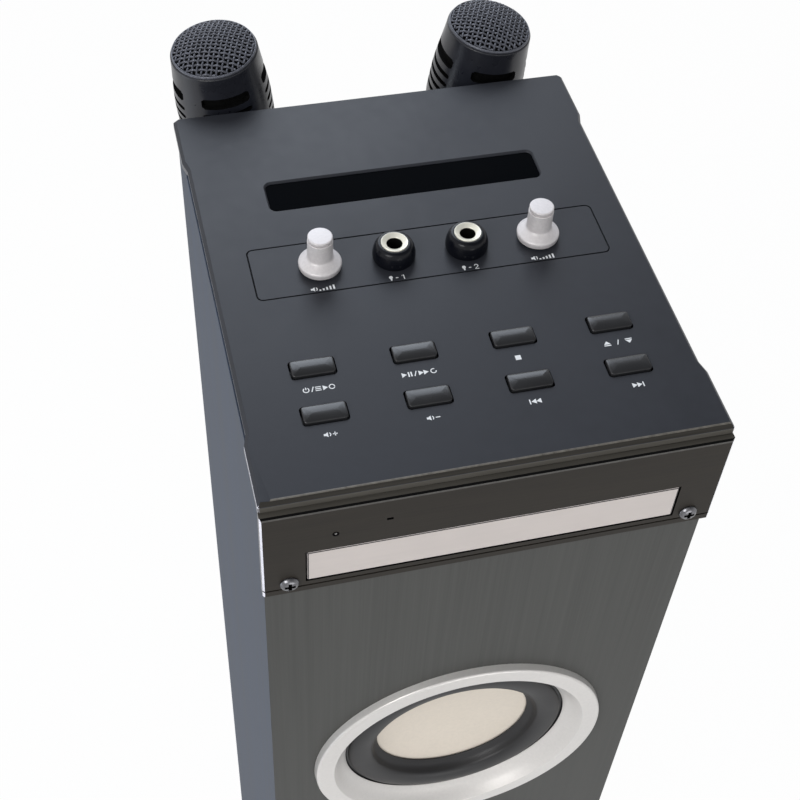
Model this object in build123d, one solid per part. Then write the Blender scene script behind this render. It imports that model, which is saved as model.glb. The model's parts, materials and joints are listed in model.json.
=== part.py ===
from build123d import *
from math import acos, cos, pi, radians, sin, sqrt, tan
import os

# Karaoke machine with a disc tray: a slim floor-standing cabinet with two drivers, a control deck
# on top with a disc loader under it, and two microphones in holders on the back.
# Millimetres, +Z up, front towards -Y. The origin is on the floor, under the centre of the deck.

# Clearances
slide_gap = 0.3
panel_gap = 0.5
run_gap = 0.05
backlash = 0.16

# Deck plate
deck_top = 1000.0
deck_width = 191.8
deck_depth = 230.0
deck_rim = 4.4
deck_skin = 2.5
deck_wall = 2.0
rim_setback = 2.7
ear_length = 30.0
ear_step = 1.6
ear_blend = 6.0
ear_corner = 0.6
front_slope = 3.3
front_drop = 1.2
side_round = 1.4
boss_radius = 3.0
boss_insets = (17.0, 19.0, 23.0)
boss_ys = (-60.6, 0.0)

# Cabinet
board = 12.0
deck_overhang = 1.0
bezel_depth = 4.0
rear_overhang = 5.0
foot_height = 8.0
foot_radius = 14.0
plinth_thickness = 18.0
plinth_width = 220.0
plinth_depth = 260.0
plinth_corner = 14.0
foot_inset = 22.0
shelf_depth = 98.0
base_screw_inset_x, base_screw_inset_y = 14.0, 40.0

# Front bezel
bezel_height = 54.4
bezel_skin = 2.0
bezel_lip, bezel_groove = 3.1, 0.9
door_width = 155.8
door_height = 19.3
door_top = 32.5
door_thickness = 3.5
lamp_inset, lamp_depth, lamp_radius = 29.5, 22.6, 0.9
eye_inset, eye_depth, eye_width, eye_height = 51.0, 18.6, 2.6, 1.4
bezel_screw_share = 0.4
bezel_screw_depth = 51.6
screw_head_radius = 4.0
screw_head_height = 2.2
screw_radius = 1.75
screw_length = 9.0
base_screw_radius = 2.2
base_screw_length = 26.0

# Controls on the deck
controls_x = 1.0
window_width, window_depth, window_y = 125.8, 18.2, 54.0
window_bevel = 0.8
groove_width, groove_depth, groove_cut = 0.6, 0.5, 0.6
mic_field_width, mic_field_depth, mic_field_y = 157.0, 31.0, 6.8
control_y = 6.4
knob_x = 48.8
jack_x = 16.3
button_pitch = 42.2
button_rows = (-49.2, -73.4)
button_width, button_depth, button_gap = 17.9, 8.6, 0.6
button_rise = 1.8
button_flange = 1.4
button_travel = 1.0
knob_radius = 9.4
knob_post_radius = 5.5
knob_height = 18.3
shaft_radius = 3.0
pot_size = 16.0
jack_bore = 3.25
ferrule_radius = 5.9
collar_radius = 9.4
collar_height = 8.6
board_depth = 11.0
circuit_board = 1.6

# Disc loader, depths below the deck's top
disc_radius = 60.0
spindle_setback = 73.0
tray_top = 38.0
tray_height = 8.0
tray_half = 64.0
recess_depth = 3.0
small_recess_depth = 1.2
tray_slot = 21.0
arm_inner = 40.0
loader_wall = 2.5
loader_floor = 60.0
loader_sheet = 2.0
loader_back_gap = 10.0
tray_back_gap = 16.0
rail_width = 5.0
rack_module = 1.25
rack_gear_pitch = 10.0
wheel_module = 0.8
wheel_teeth = 36
pinion_teeth = 12
tray_gear_x, tray_gear_setback = -38.0, 33.5
motor_radius = 10.0
motor_length = 17.0
pivot_back_gap, pivot_depth, pivot_radius = 22.0, 55.0, 2.0
traverse_half = 34.5
turntable_radius = 15.0
sled_travel = 34.0
lens_start = 24.0
rod_radius = 1.5
feed_module = 0.8
feed_teeth = 15
feed_x, feed_setback = 26.0, 44.0

# Drivers
driver_depths = (234.5, 404.5)
ring_radius = 74.5
ring_rise = 2.3
ring_land = 7.5
rebate_radius = 68.5
rebate_depth = 9.0
surround_outer = 57.0
surround_inner = 40.0
cone_throw = 2.5
cone_seat = 4.2
coil_radius = 12.0
magnet_radius, magnet_depth = 35.0, 20.0
basket_neck, basket_depth = 38.0, 40.0

# Back
io_width, io_height, io_z = 132.0, 60.0, 150.0
sheet = 2.0
port_z, port_radius, port_wall, port_length = 420.0, 25.0, 2.2, 70.0
amplifier_width, amplifier_height, amplifier_standoff, amplifier_rise = 120.0, 90.0, 12.0, 50.0
heat_sink_width, heat_sink_height, heat_sink_depth, fin_count, fin_thickness = 80.0, 40.0, 20.0, 9, 2.4
capacitor_radius, capacitor_length, capacitor_pitch = 8.0, 22.0, 22.0
phono_radius, phono_flange = 4.15, 1.2
rocker_tilt = 10.0

# Microphones
mic_inset, mic_shift, mic_standoff, mic_rise = 27.45, -2.75, 32.0, 14.8
mic_tilt, mic_lean = 6.75, 3.4
mic_seats = {-1: 2.3, 1: -2.3}
rim_radius = 21.05
head_radius = 23.65
dome_height = 9.0
grip_top, grip_tail = 74.0, 200.0
grip_top_radius, grip_tail_radius = 16.0, 12.0
holder_top, holder_bottom, holder_wall = 118.0, 150.0, 3.0

# Levels and planes that follow from the sizes above
front_y = -deck_depth / 2
baffle_y = front_y + bezel_depth
back_y = deck_depth / 2 - rear_overhang
deck_half = deck_width / 2
half = deck_half - deck_overhang
inner_half = half - board
cabinet_top = deck_top - deck_rim
cabinet_bottom = foot_height + plinth_thickness
base_screw_places = [(i * (inner_half - base_screw_inset_x), j * (back_y - base_screw_inset_y))
                     for i in (-1, 1) for j in (-1, 1)]
rim_front_y = front_y + rim_setback
lamp_x, eye_x = lamp_inset - deck_half, eye_inset - deck_half
bezel_screw_x = door_width / 2 + bezel_screw_share * (deck_half - door_width / 2)
spindle_y = front_y + spindle_setback
loader_rear = back_y - board - loader_back_gap
tray_rear = loader_rear - tray_back_gap
pivot_y = loader_rear - pivot_back_gap
tray_gear_y = front_y + tray_gear_setback
rack_gear_teeth = round(2 * rack_gear_pitch / rack_module)
feed_y = spindle_y + feed_setback
mic_x, mic_y = deck_half - mic_inset, back_y + mic_standoff
board_bosses = [(i * (deck_half - inset), y) for i in (-1, 1)
                for inset, y in zip(boss_insets, boss_ys + (window_y,))]


def below(depth):
    """The height of a level at this depth below the deck's top."""
    return deck_top - depth


def block(x0, x1, y0, y1, z0, z1):
    return Pos((x0 + x1) / 2, (y0 + y1) / 2, (z0 + z1) / 2) * Box(x1 - x0, y1 - y0, z1 - z0)


def post(radius, z0, z1, x=0.0, y=0.0):
    return Pos(x, y, (z0 + z1) / 2) * Cylinder(radius, z1 - z0)


def bar_y(radius, y0, y1, x=0.0, z=0.0):
    return Pos(x, (y0 + y1) / 2, z) * Rot(90, 0, 0) * Cylinder(radius, y1 - y0)


def bar_x(radius, x0, x1, y=0.0, z=0.0):
    return Pos((x0 + x1) / 2, y, z) * Rot(0, 90, 0) * Cylinder(radius, x1 - x0)


def slab(width, depth, corner, z0, z1, x=0.0, y=0.0):
    """A plate with rounded corners, lying flat."""
    return extrude(Pos(x, y, z0) * RectangleRounded(width, depth, corner), z1 - z0)


def turned_z(points, x=0.0, y=0.0, z=0.0):
    """A profile of (radius, height) points turned about Z."""
    return Pos(x, y, z) * revolve(Plane.XZ * Polygon(*points, align=None), Axis.Z)


def turned_y(points, z):
    """A profile of (radius, y) points turned about the Y direction at height z."""
    return Pos(0, 0, z) * revolve(Polygon(*points, align=None), Axis.Y)


def save(name, *solids):
    shape = solids[0] if len(solids) == 1 else Compound(children=list(solids))
    export_step(shape, f"parts/{name}.step")


def both(make):
    """The same piece for the left (-1) and right (+1) side."""
    return [make(side) for side in (-1, 1)]


# ---------------------------------------------------------------- gears

pressure = radians(20)


def involute(radius, base):
    ratio = radius / base
    return sqrt(ratio * ratio - 1) - acos(1 / ratio)


def gear(teeth, module, z0, z1, turn=0.0):
    """A spur gear about Z whose tooth is centred on the angle `turn`, in degrees."""
    pitch = module * teeth / 2
    base = pitch * cos(pressure)
    tip, root = pitch + module, pitch - 1.25 * module
    half_angle = (pi * module / 2 - backlash / 2) / (2 * pitch) + involute(pitch, base)
    foot = max(base, root)
    radii = [foot + (tip - foot) * i / 3 for i in range(4)]
    outline = []
    for k in range(teeth):
        centre = radians(turn) + 2 * pi * k / teeth
        flank = [(r, half_angle - involute(r, base)) for r in radii]
        if root < foot:
            flank.insert(0, (root, flank[0][1]))
        side = [(r, centre - a) for r, a in flank] + [(r, centre + a) for r, a in reversed(flank)]
        outline += [(r * cos(a), r * sin(a)) for r, a in side]
    return extrude(Pos(0, 0, z0) * Polygon(*outline, align=None), z1 - z0)


def rack(module, pitch_x, bar_x0, gap_y, y0, y1, z0, z1):
    """A rack along Y with teeth towards +X and a gap between two teeth at gap_y."""
    step = pi * module
    half_tooth = step / 4 - backlash / 4
    tip, root = pitch_x + module, pitch_x - 1.25 * module
    lean = tan(pressure)
    shape = block(bar_x0, root, y0, y1, z0, z1)
    first = int((y0 - gap_y) / step - 0.5) + 1
    centre = gap_y + (first + 0.5) * step
    while centre < y1 - step / 2:
        if centre > y0 + step / 2:
            foot = half_tooth + (pitch_x - root) * lean
            top = half_tooth - module * lean
            tooth = Polygon((root - 0.2, centre - foot), (root, centre - foot), (tip, centre - top),
                            (tip, centre + top), (root, centre + foot), (root - 0.2, centre + foot),
                            align=None)
            shape += extrude(Pos(0, 0, z0) * tooth, z1 - z0)
        centre += step
    return shape


# ---------------------------------------------------------------- cabinet

def front_baffle():
    """The front board, mitred to the sides, with rebated driver holes and the loader's slot."""
    outline = Polygon((-half, baffle_y), (half, baffle_y), (inner_half, baffle_y + board),
                      (-inner_half, baffle_y + board), align=None)
    shape = extrude(Pos(0, 0, cabinet_bottom) * outline, cabinet_top - cabinet_bottom)
    for depth in driver_depths:
        z = below(depth)
        shape -= bar_y(rebate_radius, baffle_y - 1, baffle_y + rebate_depth, z=z)
        shape -= bar_y(surround_outer + 3.0, baffle_y, baffle_y + board + 1, z=z)
    slot_half = door_width / 2 + 2.0
    shape -= block(-slot_half, slot_half, baffle_y - 1, baffle_y + board + 1,
                   below(door_top + door_height + 4.0), below(door_top - 4.0))
    shape -= block(lamp_x - 6, eye_x + 8, baffle_y - 1, baffle_y + board + 1,
                   below(lamp_depth + 5.0), below(eye_depth - 6.0))
    for side in (-1, 1):
        shape -= bar_y(screw_radius, baffle_y - 1, baffle_y + screw_length,
                       x=side * bezel_screw_x, z=below(bezel_screw_depth))
    return shape


def side_panel(side):
    outline = Polygon((side * half, baffle_y), (side * half, back_y), (side * inner_half, back_y),
                      (side * inner_half, baffle_y + board), align=None)
    return extrude(Pos(0, 0, cabinet_bottom) * outline, cabinet_top - cabinet_bottom, dir=(0, 0, 1))


def back_panel():
    shape = block(-inner_half, inner_half, back_y - board, back_y, cabinet_bottom, cabinet_top)
    shape -= block(-io_width / 2 + 8, io_width / 2 - 8, back_y - board - 1, back_y + 1,
                   io_z - io_height / 2 + 8, io_z + io_height / 2 - 8)
    shape -= bar_y(port_radius + port_wall + slide_gap, back_y - board - 1, back_y + 1, z=port_z)
    return shape


def inner_shelves():
    def shelf(z0):
        return block(-inner_half, inner_half, baffle_y + board, back_y - board, z0, z0 + board)
    bottom = shelf(cabinet_bottom)
    for x, y in base_screw_places:
        bottom -= post(base_screw_radius, cabinet_bottom - 1, foot_height + base_screw_length, x, y)
    return bottom, shelf(below(shelf_depth) - board)


def base_plate():
    shape = slab(plinth_width, plinth_depth, plinth_corner, foot_height, cabinet_bottom)
    shape = chamfer(shape.faces().sort_by(Axis.Z)[-1].edges(), 2.0)
    for x, y in base_screw_places:
        shape -= post(base_screw_radius, foot_height - 1, cabinet_bottom + 1, x, y)
    return shape


def foot_places():
    x, y = plinth_width / 2 - foot_inset, plinth_depth / 2 - foot_inset
    return [(i * x, j * y) for i in (-1, 1) for j in (-1, 1)]


def rubber_foot(x, y):
    profile = [(0, 0), (foot_radius - 2, 0), (foot_radius, 2), (foot_radius - 1, foot_height),
               (0, foot_height)]
    return turned_z(profile, x, y)


def pan_screw(radius, head, rise, length):
    """A pan-head cross-recess screw along +Z: its head above z = 0, its shank below."""
    profile = [(0, rise), (head * 0.55, rise), (head * 0.85, rise * 0.75), (head, rise * 0.3),
               (head, 0), (radius, 0), (radius, -length + 1.5), (radius * 0.4, -length), (0, -length)]
    cross = Box(head * 1.1, head * 0.24, rise * 1.2) + Box(head * 0.24, head * 1.1, rise * 1.2)
    return turned_z(profile) - Pos(0, 0, rise) * cross


def screws():
    """Two screws that hold the bezel to the baffle, and four up through the base plate."""
    bezel = [Pos(side * bezel_screw_x, front_y, below(bezel_screw_depth)) * Rot(90, 0, 0)
             * pan_screw(screw_radius, screw_head_radius, screw_head_height,
                         screw_length + bezel_depth - 1) for side in (-1, 1)]
    base = [Pos(x, y, foot_height) * Rot(180, 0, 0)
            * pan_screw(base_screw_radius, 4.6, 2.4, base_screw_length) for x, y in base_screw_places]
    return bezel + base


# ---------------------------------------------------------------- deck

def ear_outline(inset=0.0):
    """The deck's plan: its corners stand out a little from the edges between them."""
    x0 = deck_half - inset
    x1 = x0 - ear_step

    def ear(y_end, way):
        y0 = y_end - way * inset
        y1, y2 = y_end - way * ear_length, y_end - way * (ear_length + ear_blend)
        return [(x1, y2), (x0, y1), (x0, y0 - way * ear_corner), (x0 - ear_corner, y0)]

    right = ear(rim_front_y, -1)[::-1] + ear(deck_depth / 2, 1)
    left = [(-x, y) for x, y in reversed(right)]
    return Polygon(*(right + left), align=None)


def button_places():
    columns = [controls_x + (i - 1.5) * button_pitch for i in range(4)]
    names = (("power", "play", "stop", "open"), ("volume_up", "volume_down", "previous", "next"))
    return [(f"{name}_button", x, y) for row, y in zip(names, button_rows)
            for name, x in zip(row, columns)]


def top_panel():
    top, rim = deck_top, below(deck_rim)
    shape = extrude(Pos(0, 0, rim) * ear_outline(), deck_rim)
    edges = [e for e in shape.faces().sort_by(Axis.Z)[-1].edges() if abs(e.center().X) > deck_half - 4]
    shape = chamfer(edges, side_round)
    y = rim_front_y
    wedge = Polygon((y - 1, top - front_drop - front_drop / front_slope), (y - 1, top + 1),
                    (y + front_slope, top + 1), (y + front_slope, top), align=None)
    shape -= Pos(-deck_width, 0, 0) * extrude(Plane.YZ * wedge, 2 * deck_width)
    shape -= extrude(Pos(0, 0, rim - 1) * ear_outline(deck_wall), deck_rim - deck_skin + 1)
    opening = slab(window_width, window_depth, 3.0, rim - 1, top + 1, controls_x, window_y)
    bevel = loft([Pos(controls_x, window_y, top - window_bevel)
                  * RectangleRounded(window_width, window_depth, 3.0),
                  Pos(controls_x, window_y, top + 0.01) * RectangleRounded(window_width + 2 * window_bevel,
                                                                  window_depth + 2 * window_bevel, 3.8)])
    shape -= opening + bevel
    field = Pos(controls_x, mic_field_y, top - groove_cut)
    outer = RectangleRounded(mic_field_width, mic_field_depth, 3.0)
    inner = RectangleRounded(mic_field_width - 2 * groove_width, mic_field_depth - 2 * groove_width, 2.4)
    shape -= extrude(field * (outer - inner), groove_cut + 1)
    for side in (-1, 1):
        shape -= post(shaft_radius + 1.0, rim, top + 1, controls_x + side * knob_x, control_y)
        shape -= post(ferrule_radius + slide_gap, rim, top + 1, controls_x + side * jack_x, control_y)
    for _, x, y in button_places():
        shape -= slab(button_width + 2 * button_gap, button_depth + 2 * button_gap, 1.6, rim, top + 1, x, y)
    for x, y in board_bosses:
        shape += post(boss_radius, below(board_depth), below(deck_skin), x, y)
    return shape


def front_bezel():
    """A shallow moulding over the top of the baffle: skin, rim, slot frame and screw seats."""
    top, bottom = below(deck_rim + panel_gap), below(deck_rim + bezel_height)
    w = deck_width / 2
    shape = block(-w, w, front_y, baffle_y, bottom, top)
    shape = chamfer(shape.edges().filter_by(Axis.Z).group_by(Axis.Y)[0], 0.8)
    shape = chamfer(shape.faces().sort_by(Axis.Z)[-1].edges().sort_by(Axis.Y)[0], 0.6, 1.6)
    shape -= block(-w + 2, w - 2, front_y + bezel_skin, baffle_y + 1, bottom + 2, top - 2)
    gap = panel_gap
    frame = block(-door_width / 2 - gap - 1.5, door_width / 2 + gap + 1.5, front_y + bezel_skin, baffle_y,
                  below(door_top + door_height + gap + 1.5), below(door_top - gap - 1.5))
    shape += frame
    for side in (-1, 1):
        shape += bar_y(5.0, front_y + bezel_skin, baffle_y, side * bezel_screw_x, below(bezel_screw_depth))
    shape -= block(-door_width / 2 - gap, door_width / 2 + gap, front_y - 1, baffle_y + 1,
                   below(door_top + door_height + gap), below(door_top - gap))
    shape -= block(-w - 1, w + 1, front_y - 1, front_y + bezel_groove,
                   bottom + bezel_lip, bottom + bezel_lip + bezel_groove)
    shape -= bar_y(lamp_radius + 0.1, front_y - 1, baffle_y, lamp_x, below(lamp_depth))
    shape -= block(eye_x - eye_width / 2, eye_x + eye_width / 2, front_y - 1, baffle_y,
                   below(eye_depth + eye_height / 2), below(eye_depth - eye_height / 2))
    for side in (-1, 1):
        shape -= bar_y(screw_radius, front_y - 1, baffle_y + 1, side * bezel_screw_x, below(bezel_screw_depth))
    return shape


def indicator_board():
    """A small board behind the bezel: the lamp and the receiver stand in their openings."""
    back = baffle_y + 2.0
    shape = block(lamp_x - 5, eye_x + 6, back, back + circuit_board,
                  below(lamp_depth + 4.0), below(eye_depth - 5.0))
    skin = front_y + bezel_skin
    shape += bar_y(1.5, skin + slide_gap, back, lamp_x, below(lamp_depth))
    shape += bar_y(lamp_radius - 0.1, front_y + 0.3, skin + 1, lamp_x, below(lamp_depth))
    shape += block(eye_x - 2.5, eye_x + 2.5, skin + slide_gap, back, below(eye_depth + 2.5),
                   below(eye_depth - 2.5))
    return shape


def display_window():
    """A smoked lens in the deck's opening, held by its flange under the skin."""
    fit = 2 * 0.15
    lens = slab(window_width - fit, window_depth - fit, 2.85, below(deck_skin) - 0.5,
                deck_top - 1.0, controls_x, window_y)
    flange = slab(window_width + 4, window_depth + 4, 4.0, below(deck_skin + 1.2), below(deck_skin),
                  controls_x, window_y)
    return lens + flange


def control_board():
    """Boards under the deck: the buttons' switches, a level control on each side, the display."""
    z0, z1 = below(board_depth + circuit_board), below(board_depth)
    plunger = below(deck_rim + button_flange) - button_travel - 2.0
    w = inner_half - 1.0
    keys = block(-w, w, button_rows[1] - 10, button_rows[0] + 10, z0, z1)
    for _, x, y in button_places():
        keys += block(x - 3, x + 3, y - 3, y + 3, z1, z1 + 1.0) + post(1.7, z1 + 1.0, plunger, x, y)
    levels = []
    for side in (-1, 1):
        x0, x1 = sorted((controls_x + side * (jack_x + 9.0), side * w))
        x = controls_x + side * knob_x
        level = block(x0, x1, -5.0, control_y + pot_size / 2 + 3, z0, z1)
        level += block(x - pot_size / 2, x + pot_size / 2, control_y - pot_size / 2,
                       control_y + pot_size / 2, z1, z1 + 5.0)
        level += post(shaft_radius + 1.0 - 0.3, z1 + 5.0, below(deck_skin) + 0.5, x, control_y)
        levels.append(level - post(shaft_radius + run_gap, z1 + 1.0, deck_top, x, control_y))
    display = block(-w, w, window_y - 13, window_y + 13, z0, z1)
    display += block(controls_x - window_width / 2 + 4, controls_x + window_width / 2 - 4,
                     window_y - 7, window_y + 7, z1,
                     below(deck_skin + 1.2) - slide_gap)
    return [keys, *levels, display]


def mic_jack_collar(side):
    """The flared black nut round a microphone socket."""
    inner = ferrule_radius + 0.02
    profile = [(inner, 0), (collar_radius - 0.5, 0), (collar_radius, 1.2), (collar_radius - 0.1, 3.6),
               (collar_radius - 1.0, 6.0), (collar_radius - 2.1, collar_height - 0.6),
               (collar_radius - 2.8, collar_height), (inner, collar_height)]
    return turned_z(profile, controls_x + side * jack_x, control_y, deck_top)


def mic_jack_socket(side):
    """The metal barrel of a 6.35 mm socket with its moulded body under the deck."""
    top = collar_height + 0.8
    profile = [(jack_bore, -22), (jack_bore, top - 0.5), (jack_bore + 0.5, top), (ferrule_radius - 0.4, top),
               (ferrule_radius, top - 0.4), (ferrule_radius, -deck_skin), (8.0, -deck_skin), (8.0, -24),
               (0, -24), (0, -22)]
    return turned_z(profile, controls_x + side * jack_x, control_y, deck_top)


def knob(side):
    """A turned knob: a flared skirt, a post with a cut line under its cap, and the control's shaft."""
    post_r, rim = knob_post_radius, knob_radius
    base = 0.6
    profile = [(shaft_radius, base), (rim - 0.9, base), (rim - 0.3, base + 0.5), (rim, base + 2.4),
               (rim - 0.1, base + 3.1), (rim - 0.6, base + 3.6), (post_r + 0.5, base + 5.5),
               (post_r, base + 5.9), (post_r, knob_height - 3.3),
               (post_r - 0.35, knob_height - 3.2), (post_r - 0.35, knob_height - 2.8),
               (post_r - 0.1, knob_height - 2.7), (post_r - 0.25, knob_height - 0.7),
               (post_r - 0.9, knob_height - 0.1), (0, knob_height), (0, knob_height - 3.6),
               (shaft_radius, knob_height - 3.6)]
    x = controls_x + side * knob_x
    cap = turned_z(profile, x, control_y, deck_top)
    shaft = post(shaft_radius, below(board_depth - 1.0) + 0.2, deck_top + knob_height - 3.6, x, control_y)
    return cap, shaft


def button(x, y):
    """A push button: a crowned cap through the deck, a flange under the skin and a stem."""
    top = deck_top + button_rise
    foot = below(deck_skin + slide_gap)
    cap = slab(button_width, button_depth, 1.4, foot - 0.5, top, x, y)
    crown_radius = 14.0
    cap &= bar_x(crown_radius, x - button_width, x + button_width, y, top - crown_radius) + block(
        x - button_width, x + button_width, y - button_depth, y + button_depth, foot - 1, deck_top - 1.5)
    flange = slab(button_width + 3.0, button_depth + 3.0, 2.0, foot - button_flange, foot, x, y)
    stem_end = below(deck_rim + button_flange) - 2.0 + 0.2
    stem = post(2.2, stem_end, foot - button_flange + 0.1, x, y)
    return cap + flange + stem


# ---------------------------------------------------------------- disc loader

tray_z1 = below(tray_top)
tray_z0 = tray_z1 - tray_height
tray_front = front_y + door_thickness
wheel_pitch = wheel_module * wheel_teeth / 2
pinion_pitch = wheel_module * pinion_teeth / 2
floor_z1 = below(loader_floor)
floor_z0 = floor_z1 - loader_sheet
loader_front = baffle_y + board + slide_gap
rack_z0 = tray_z0 - 5.5


def disc_tray():
    """The tray: a stepped disc recess, a slot for the turntable, two arms and a rack below."""
    shape = block(-tray_half, tray_half, tray_front, tray_rear, tray_z0, tray_z1)
    shape -= post(disc_radius + 0.5, tray_z1 - recess_depth, tray_z1 + 1, y=spindle_y)
    shape -= post(disc_radius * 2 / 3 + 0.5, tray_z1 - recess_depth - small_recess_depth, tray_z1 + 1,
                  y=spindle_y)
    arms = spindle_y + disc_radius + 6
    shape -= post(tray_slot, tray_z0 - 1, tray_z1 + 1, y=spindle_y)
    shape -= block(-tray_slot, tray_slot, spindle_y, tray_rear + 1, tray_z0 - 1, tray_z1 + 1)
    shape -= slab(2 * arm_inner, 2 * (tray_rear - arms), 8.0, tray_z0 - 1, tray_z1 + 1, y=tray_rear)
    for side in (-1, 1):
        shape -= block(side * 30 - 8, side * 30 + 8, tray_front - 1, tray_front + 3, tray_z0 - 1, tray_z1 - 3)
    rack_x = tray_gear_x - rack_gear_pitch
    shape += rack(rack_module, rack_x, rack_x - 6.0, tray_gear_y, tray_front + 12, tray_rear - 3,
                  rack_z0, tray_z0 + 0.2)
    return shape


def tray_door():
    z0 = below(door_top + door_height)
    shape = block(-door_width / 2, door_width / 2, front_y, tray_front, z0, below(door_top))
    return chamfer(shape.faces().sort_by(Axis.Y)[0].edges(), 0.5)


def loader_chassis():
    """The loader's frame: floor with a window for the traverse, walls, rails, tabs, lugs and legs."""
    w = tray_half + panel_gap + loader_wall
    inner = w - loader_wall
    wall_top = tray_z1 + slide_gap + 2.0
    shape = block(-w, w, loader_front, loader_rear, floor_z0, floor_z1)
    shape -= block(-traverse_half - 2.5, traverse_half + 2.5, -70, loader_rear - 10, floor_z0 - 1, floor_z1 + 1)
    shape += block(-w, w, loader_rear - loader_wall, loader_rear, floor_z0, tray_z0)
    rail_top = tray_z0 - slide_gap
    for side in (-1, 1):
        x0, x1 = sorted((side * inner, side * w))
        shape += block(x0, x1, loader_front, loader_rear, floor_z0, wall_top)
        x0, x1 = sorted((side * (inner - rail_width), side * inner))
        shape += block(x0, x1, loader_front, loader_rear - loader_wall, rail_top - 2.0, rail_top)
        x0, x1 = sorted((side * (inner - 3.0), side * inner))
        for y in (loader_front + 2, -10, 50):
            shape += block(x0, x1, y, y + 12, tray_z1 + slide_gap, wall_top)
        x0, x1 = sorted((side * (traverse_half + 3.0), side * (traverse_half + 7.0)))
        lug = block(x0, x1, pivot_y - 5, pivot_y + 5, floor_z1 - 0.5, below(pivot_depth) + 4)
        shape += lug - bar_x(pivot_radius + run_gap, x0 - 1, x1 + 1, pivot_y, below(pivot_depth))
        for y in (loader_front + 9, loader_rear - 8):
            shape += post(4.0, below(shelf_depth), floor_z0, side * (w - 6), y)
    shape += post(2.0, floor_z1 - 0.5, tray_z0 - slide_gap - 0.5, tray_gear_x, tray_gear_y)
    shape -= post(2.5, floor_z0 - 1, floor_z1 + 1, tray_gear_x + wheel_pitch + pinion_pitch, tray_gear_y)
    return shape


wheel_z0 = floor_z1 + 1.5
wheel_z1 = wheel_z0 + 4.0


def tray_gear():
    """A compound gear: the wide wheel below, the rack pinion above, turning on the chassis stud."""
    shape = gear(wheel_teeth, wheel_module, wheel_z0, wheel_z1)
    shape += gear(rack_gear_teeth, rack_module, wheel_z1, tray_z0 - 0.8)
    shape -= post(2.0 + run_gap, wheel_z0 - 1, tray_z0 + 1)
    shape += post(4.0, floor_z1 + slide_gap, wheel_z0) - post(2.0 + run_gap, floor_z1, wheel_z0 + 1)
    return Pos(tray_gear_x, tray_gear_y, 0) * shape


def loading_pinion():
    half_pitch = 180 / pinion_teeth
    shape = gear(pinion_teeth, wheel_module, wheel_z0, wheel_z1, half_pitch)
    shape += post(1.0, floor_z0 - motor_length + 4, wheel_z1)
    return Pos(tray_gear_x + wheel_pitch + pinion_pitch, tray_gear_y, 0) * shape


def motor(x, y, top, length, radius):
    """A small can motor with its shaft bore open at the top."""
    profile = [(1.0 + run_gap, 0.5), (2.2, 0.5), (2.2, 0), (radius - 1, 0), (radius, -1), (radius, -length + 1),
               (radius - 1, -length), (0, -length), (0, -length + 2.5), (1.0 + run_gap, -length + 2.5)]
    return turned_z(profile, x, y, top)


deck_z1 = below(pivot_depth) + 1.0
deck_z0 = deck_z1 - 2.0
rod_z = deck_z1 + 2.0
rod_xs = (-22.0, 14.0)
sled_y = spindle_y + lens_start
rod_y0, rod_y1 = sled_y - 16, 61.0
spindle_top = below(tray_top + recess_depth) + 0.7


def traverse_deck():
    """The pressed deck that carries the spindle motor, the rods and the feed gear, on two pivots."""
    front, rear = spindle_y - 22, pivot_y + 6
    shape = block(-traverse_half, traverse_half, front, rear, deck_z0, deck_z1)
    shape -= block(-27.5, 19.5, sled_y - 12, rod_y1 - 4, deck_z0 - 1, deck_z1 + 1)
    shape -= post(2.4, deck_z0 - 1, deck_z1 + 1, y=spindle_y)
    for x in rod_xs:
        for y0, y1 in ((rod_y0, rod_y0 + 4), (rod_y1 - 4, rod_y1)):
            shape += block(x - 3, x + 3, y0, y1, deck_z1 - 0.5, rod_z + 3) - bar_y(
                rod_radius, y0 - 1, y1 + 1, x, rod_z)
    for side in (-1, 1):
        x0, x1 = sorted((side * (traverse_half - 1), side * (traverse_half + 6.5)))
        shape += bar_x(pivot_radius, x0, x1, pivot_y, below(pivot_depth))
        x0, x1 = sorted((side * (traverse_half - 6), side * (traverse_half + 1)))
        shape += block(x0, x1, pivot_y - 4, pivot_y + 4, deck_z0 - 1, deck_z1 + 1)
    hanger = floor_z0 - 1.2
    for y in (feed_y - 13, feed_y + 11):
        shape += block(22.5, traverse_half, y, y + 2, hanger, deck_z0 + 0.5)
    shape += block(22.5, traverse_half, feed_y - 13, feed_y + 13, hanger - 1.5, hanger)
    shape -= post(2.4, hanger - 3, hanger + 1, feed_x, feed_y)
    return shape


feed_z1 = deck_z0 - 1.0
feed_z0 = feed_z1 - 3.5


def traverse_motors():
    spindle = motor(0, spindle_y, deck_z0, 14.0, 12.0)
    sled = motor(feed_x, feed_y, floor_z0 - 2.7, 12.0, 8.0)
    return spindle, sled


def turntable():
    """The turntable with its centring cone and the spindle that turns in the motor."""
    z = spindle_top
    r = turntable_radius
    profile = [(0, deck_z0 - 11.0 - z), (1.0, deck_z0 - 11.0 - z), (1.0, -4.0), (5.0, -4.0), (5.0, -2.2),
               (r - 1, -2.2), (r, -1.6), (r, -0.4), (r - 0.4, 0), (7.6, 0), (7.3, 1.2), (5.2, 2.4), (0, 2.4)]
    return turned_z(profile, 0, spindle_y, z)


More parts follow.
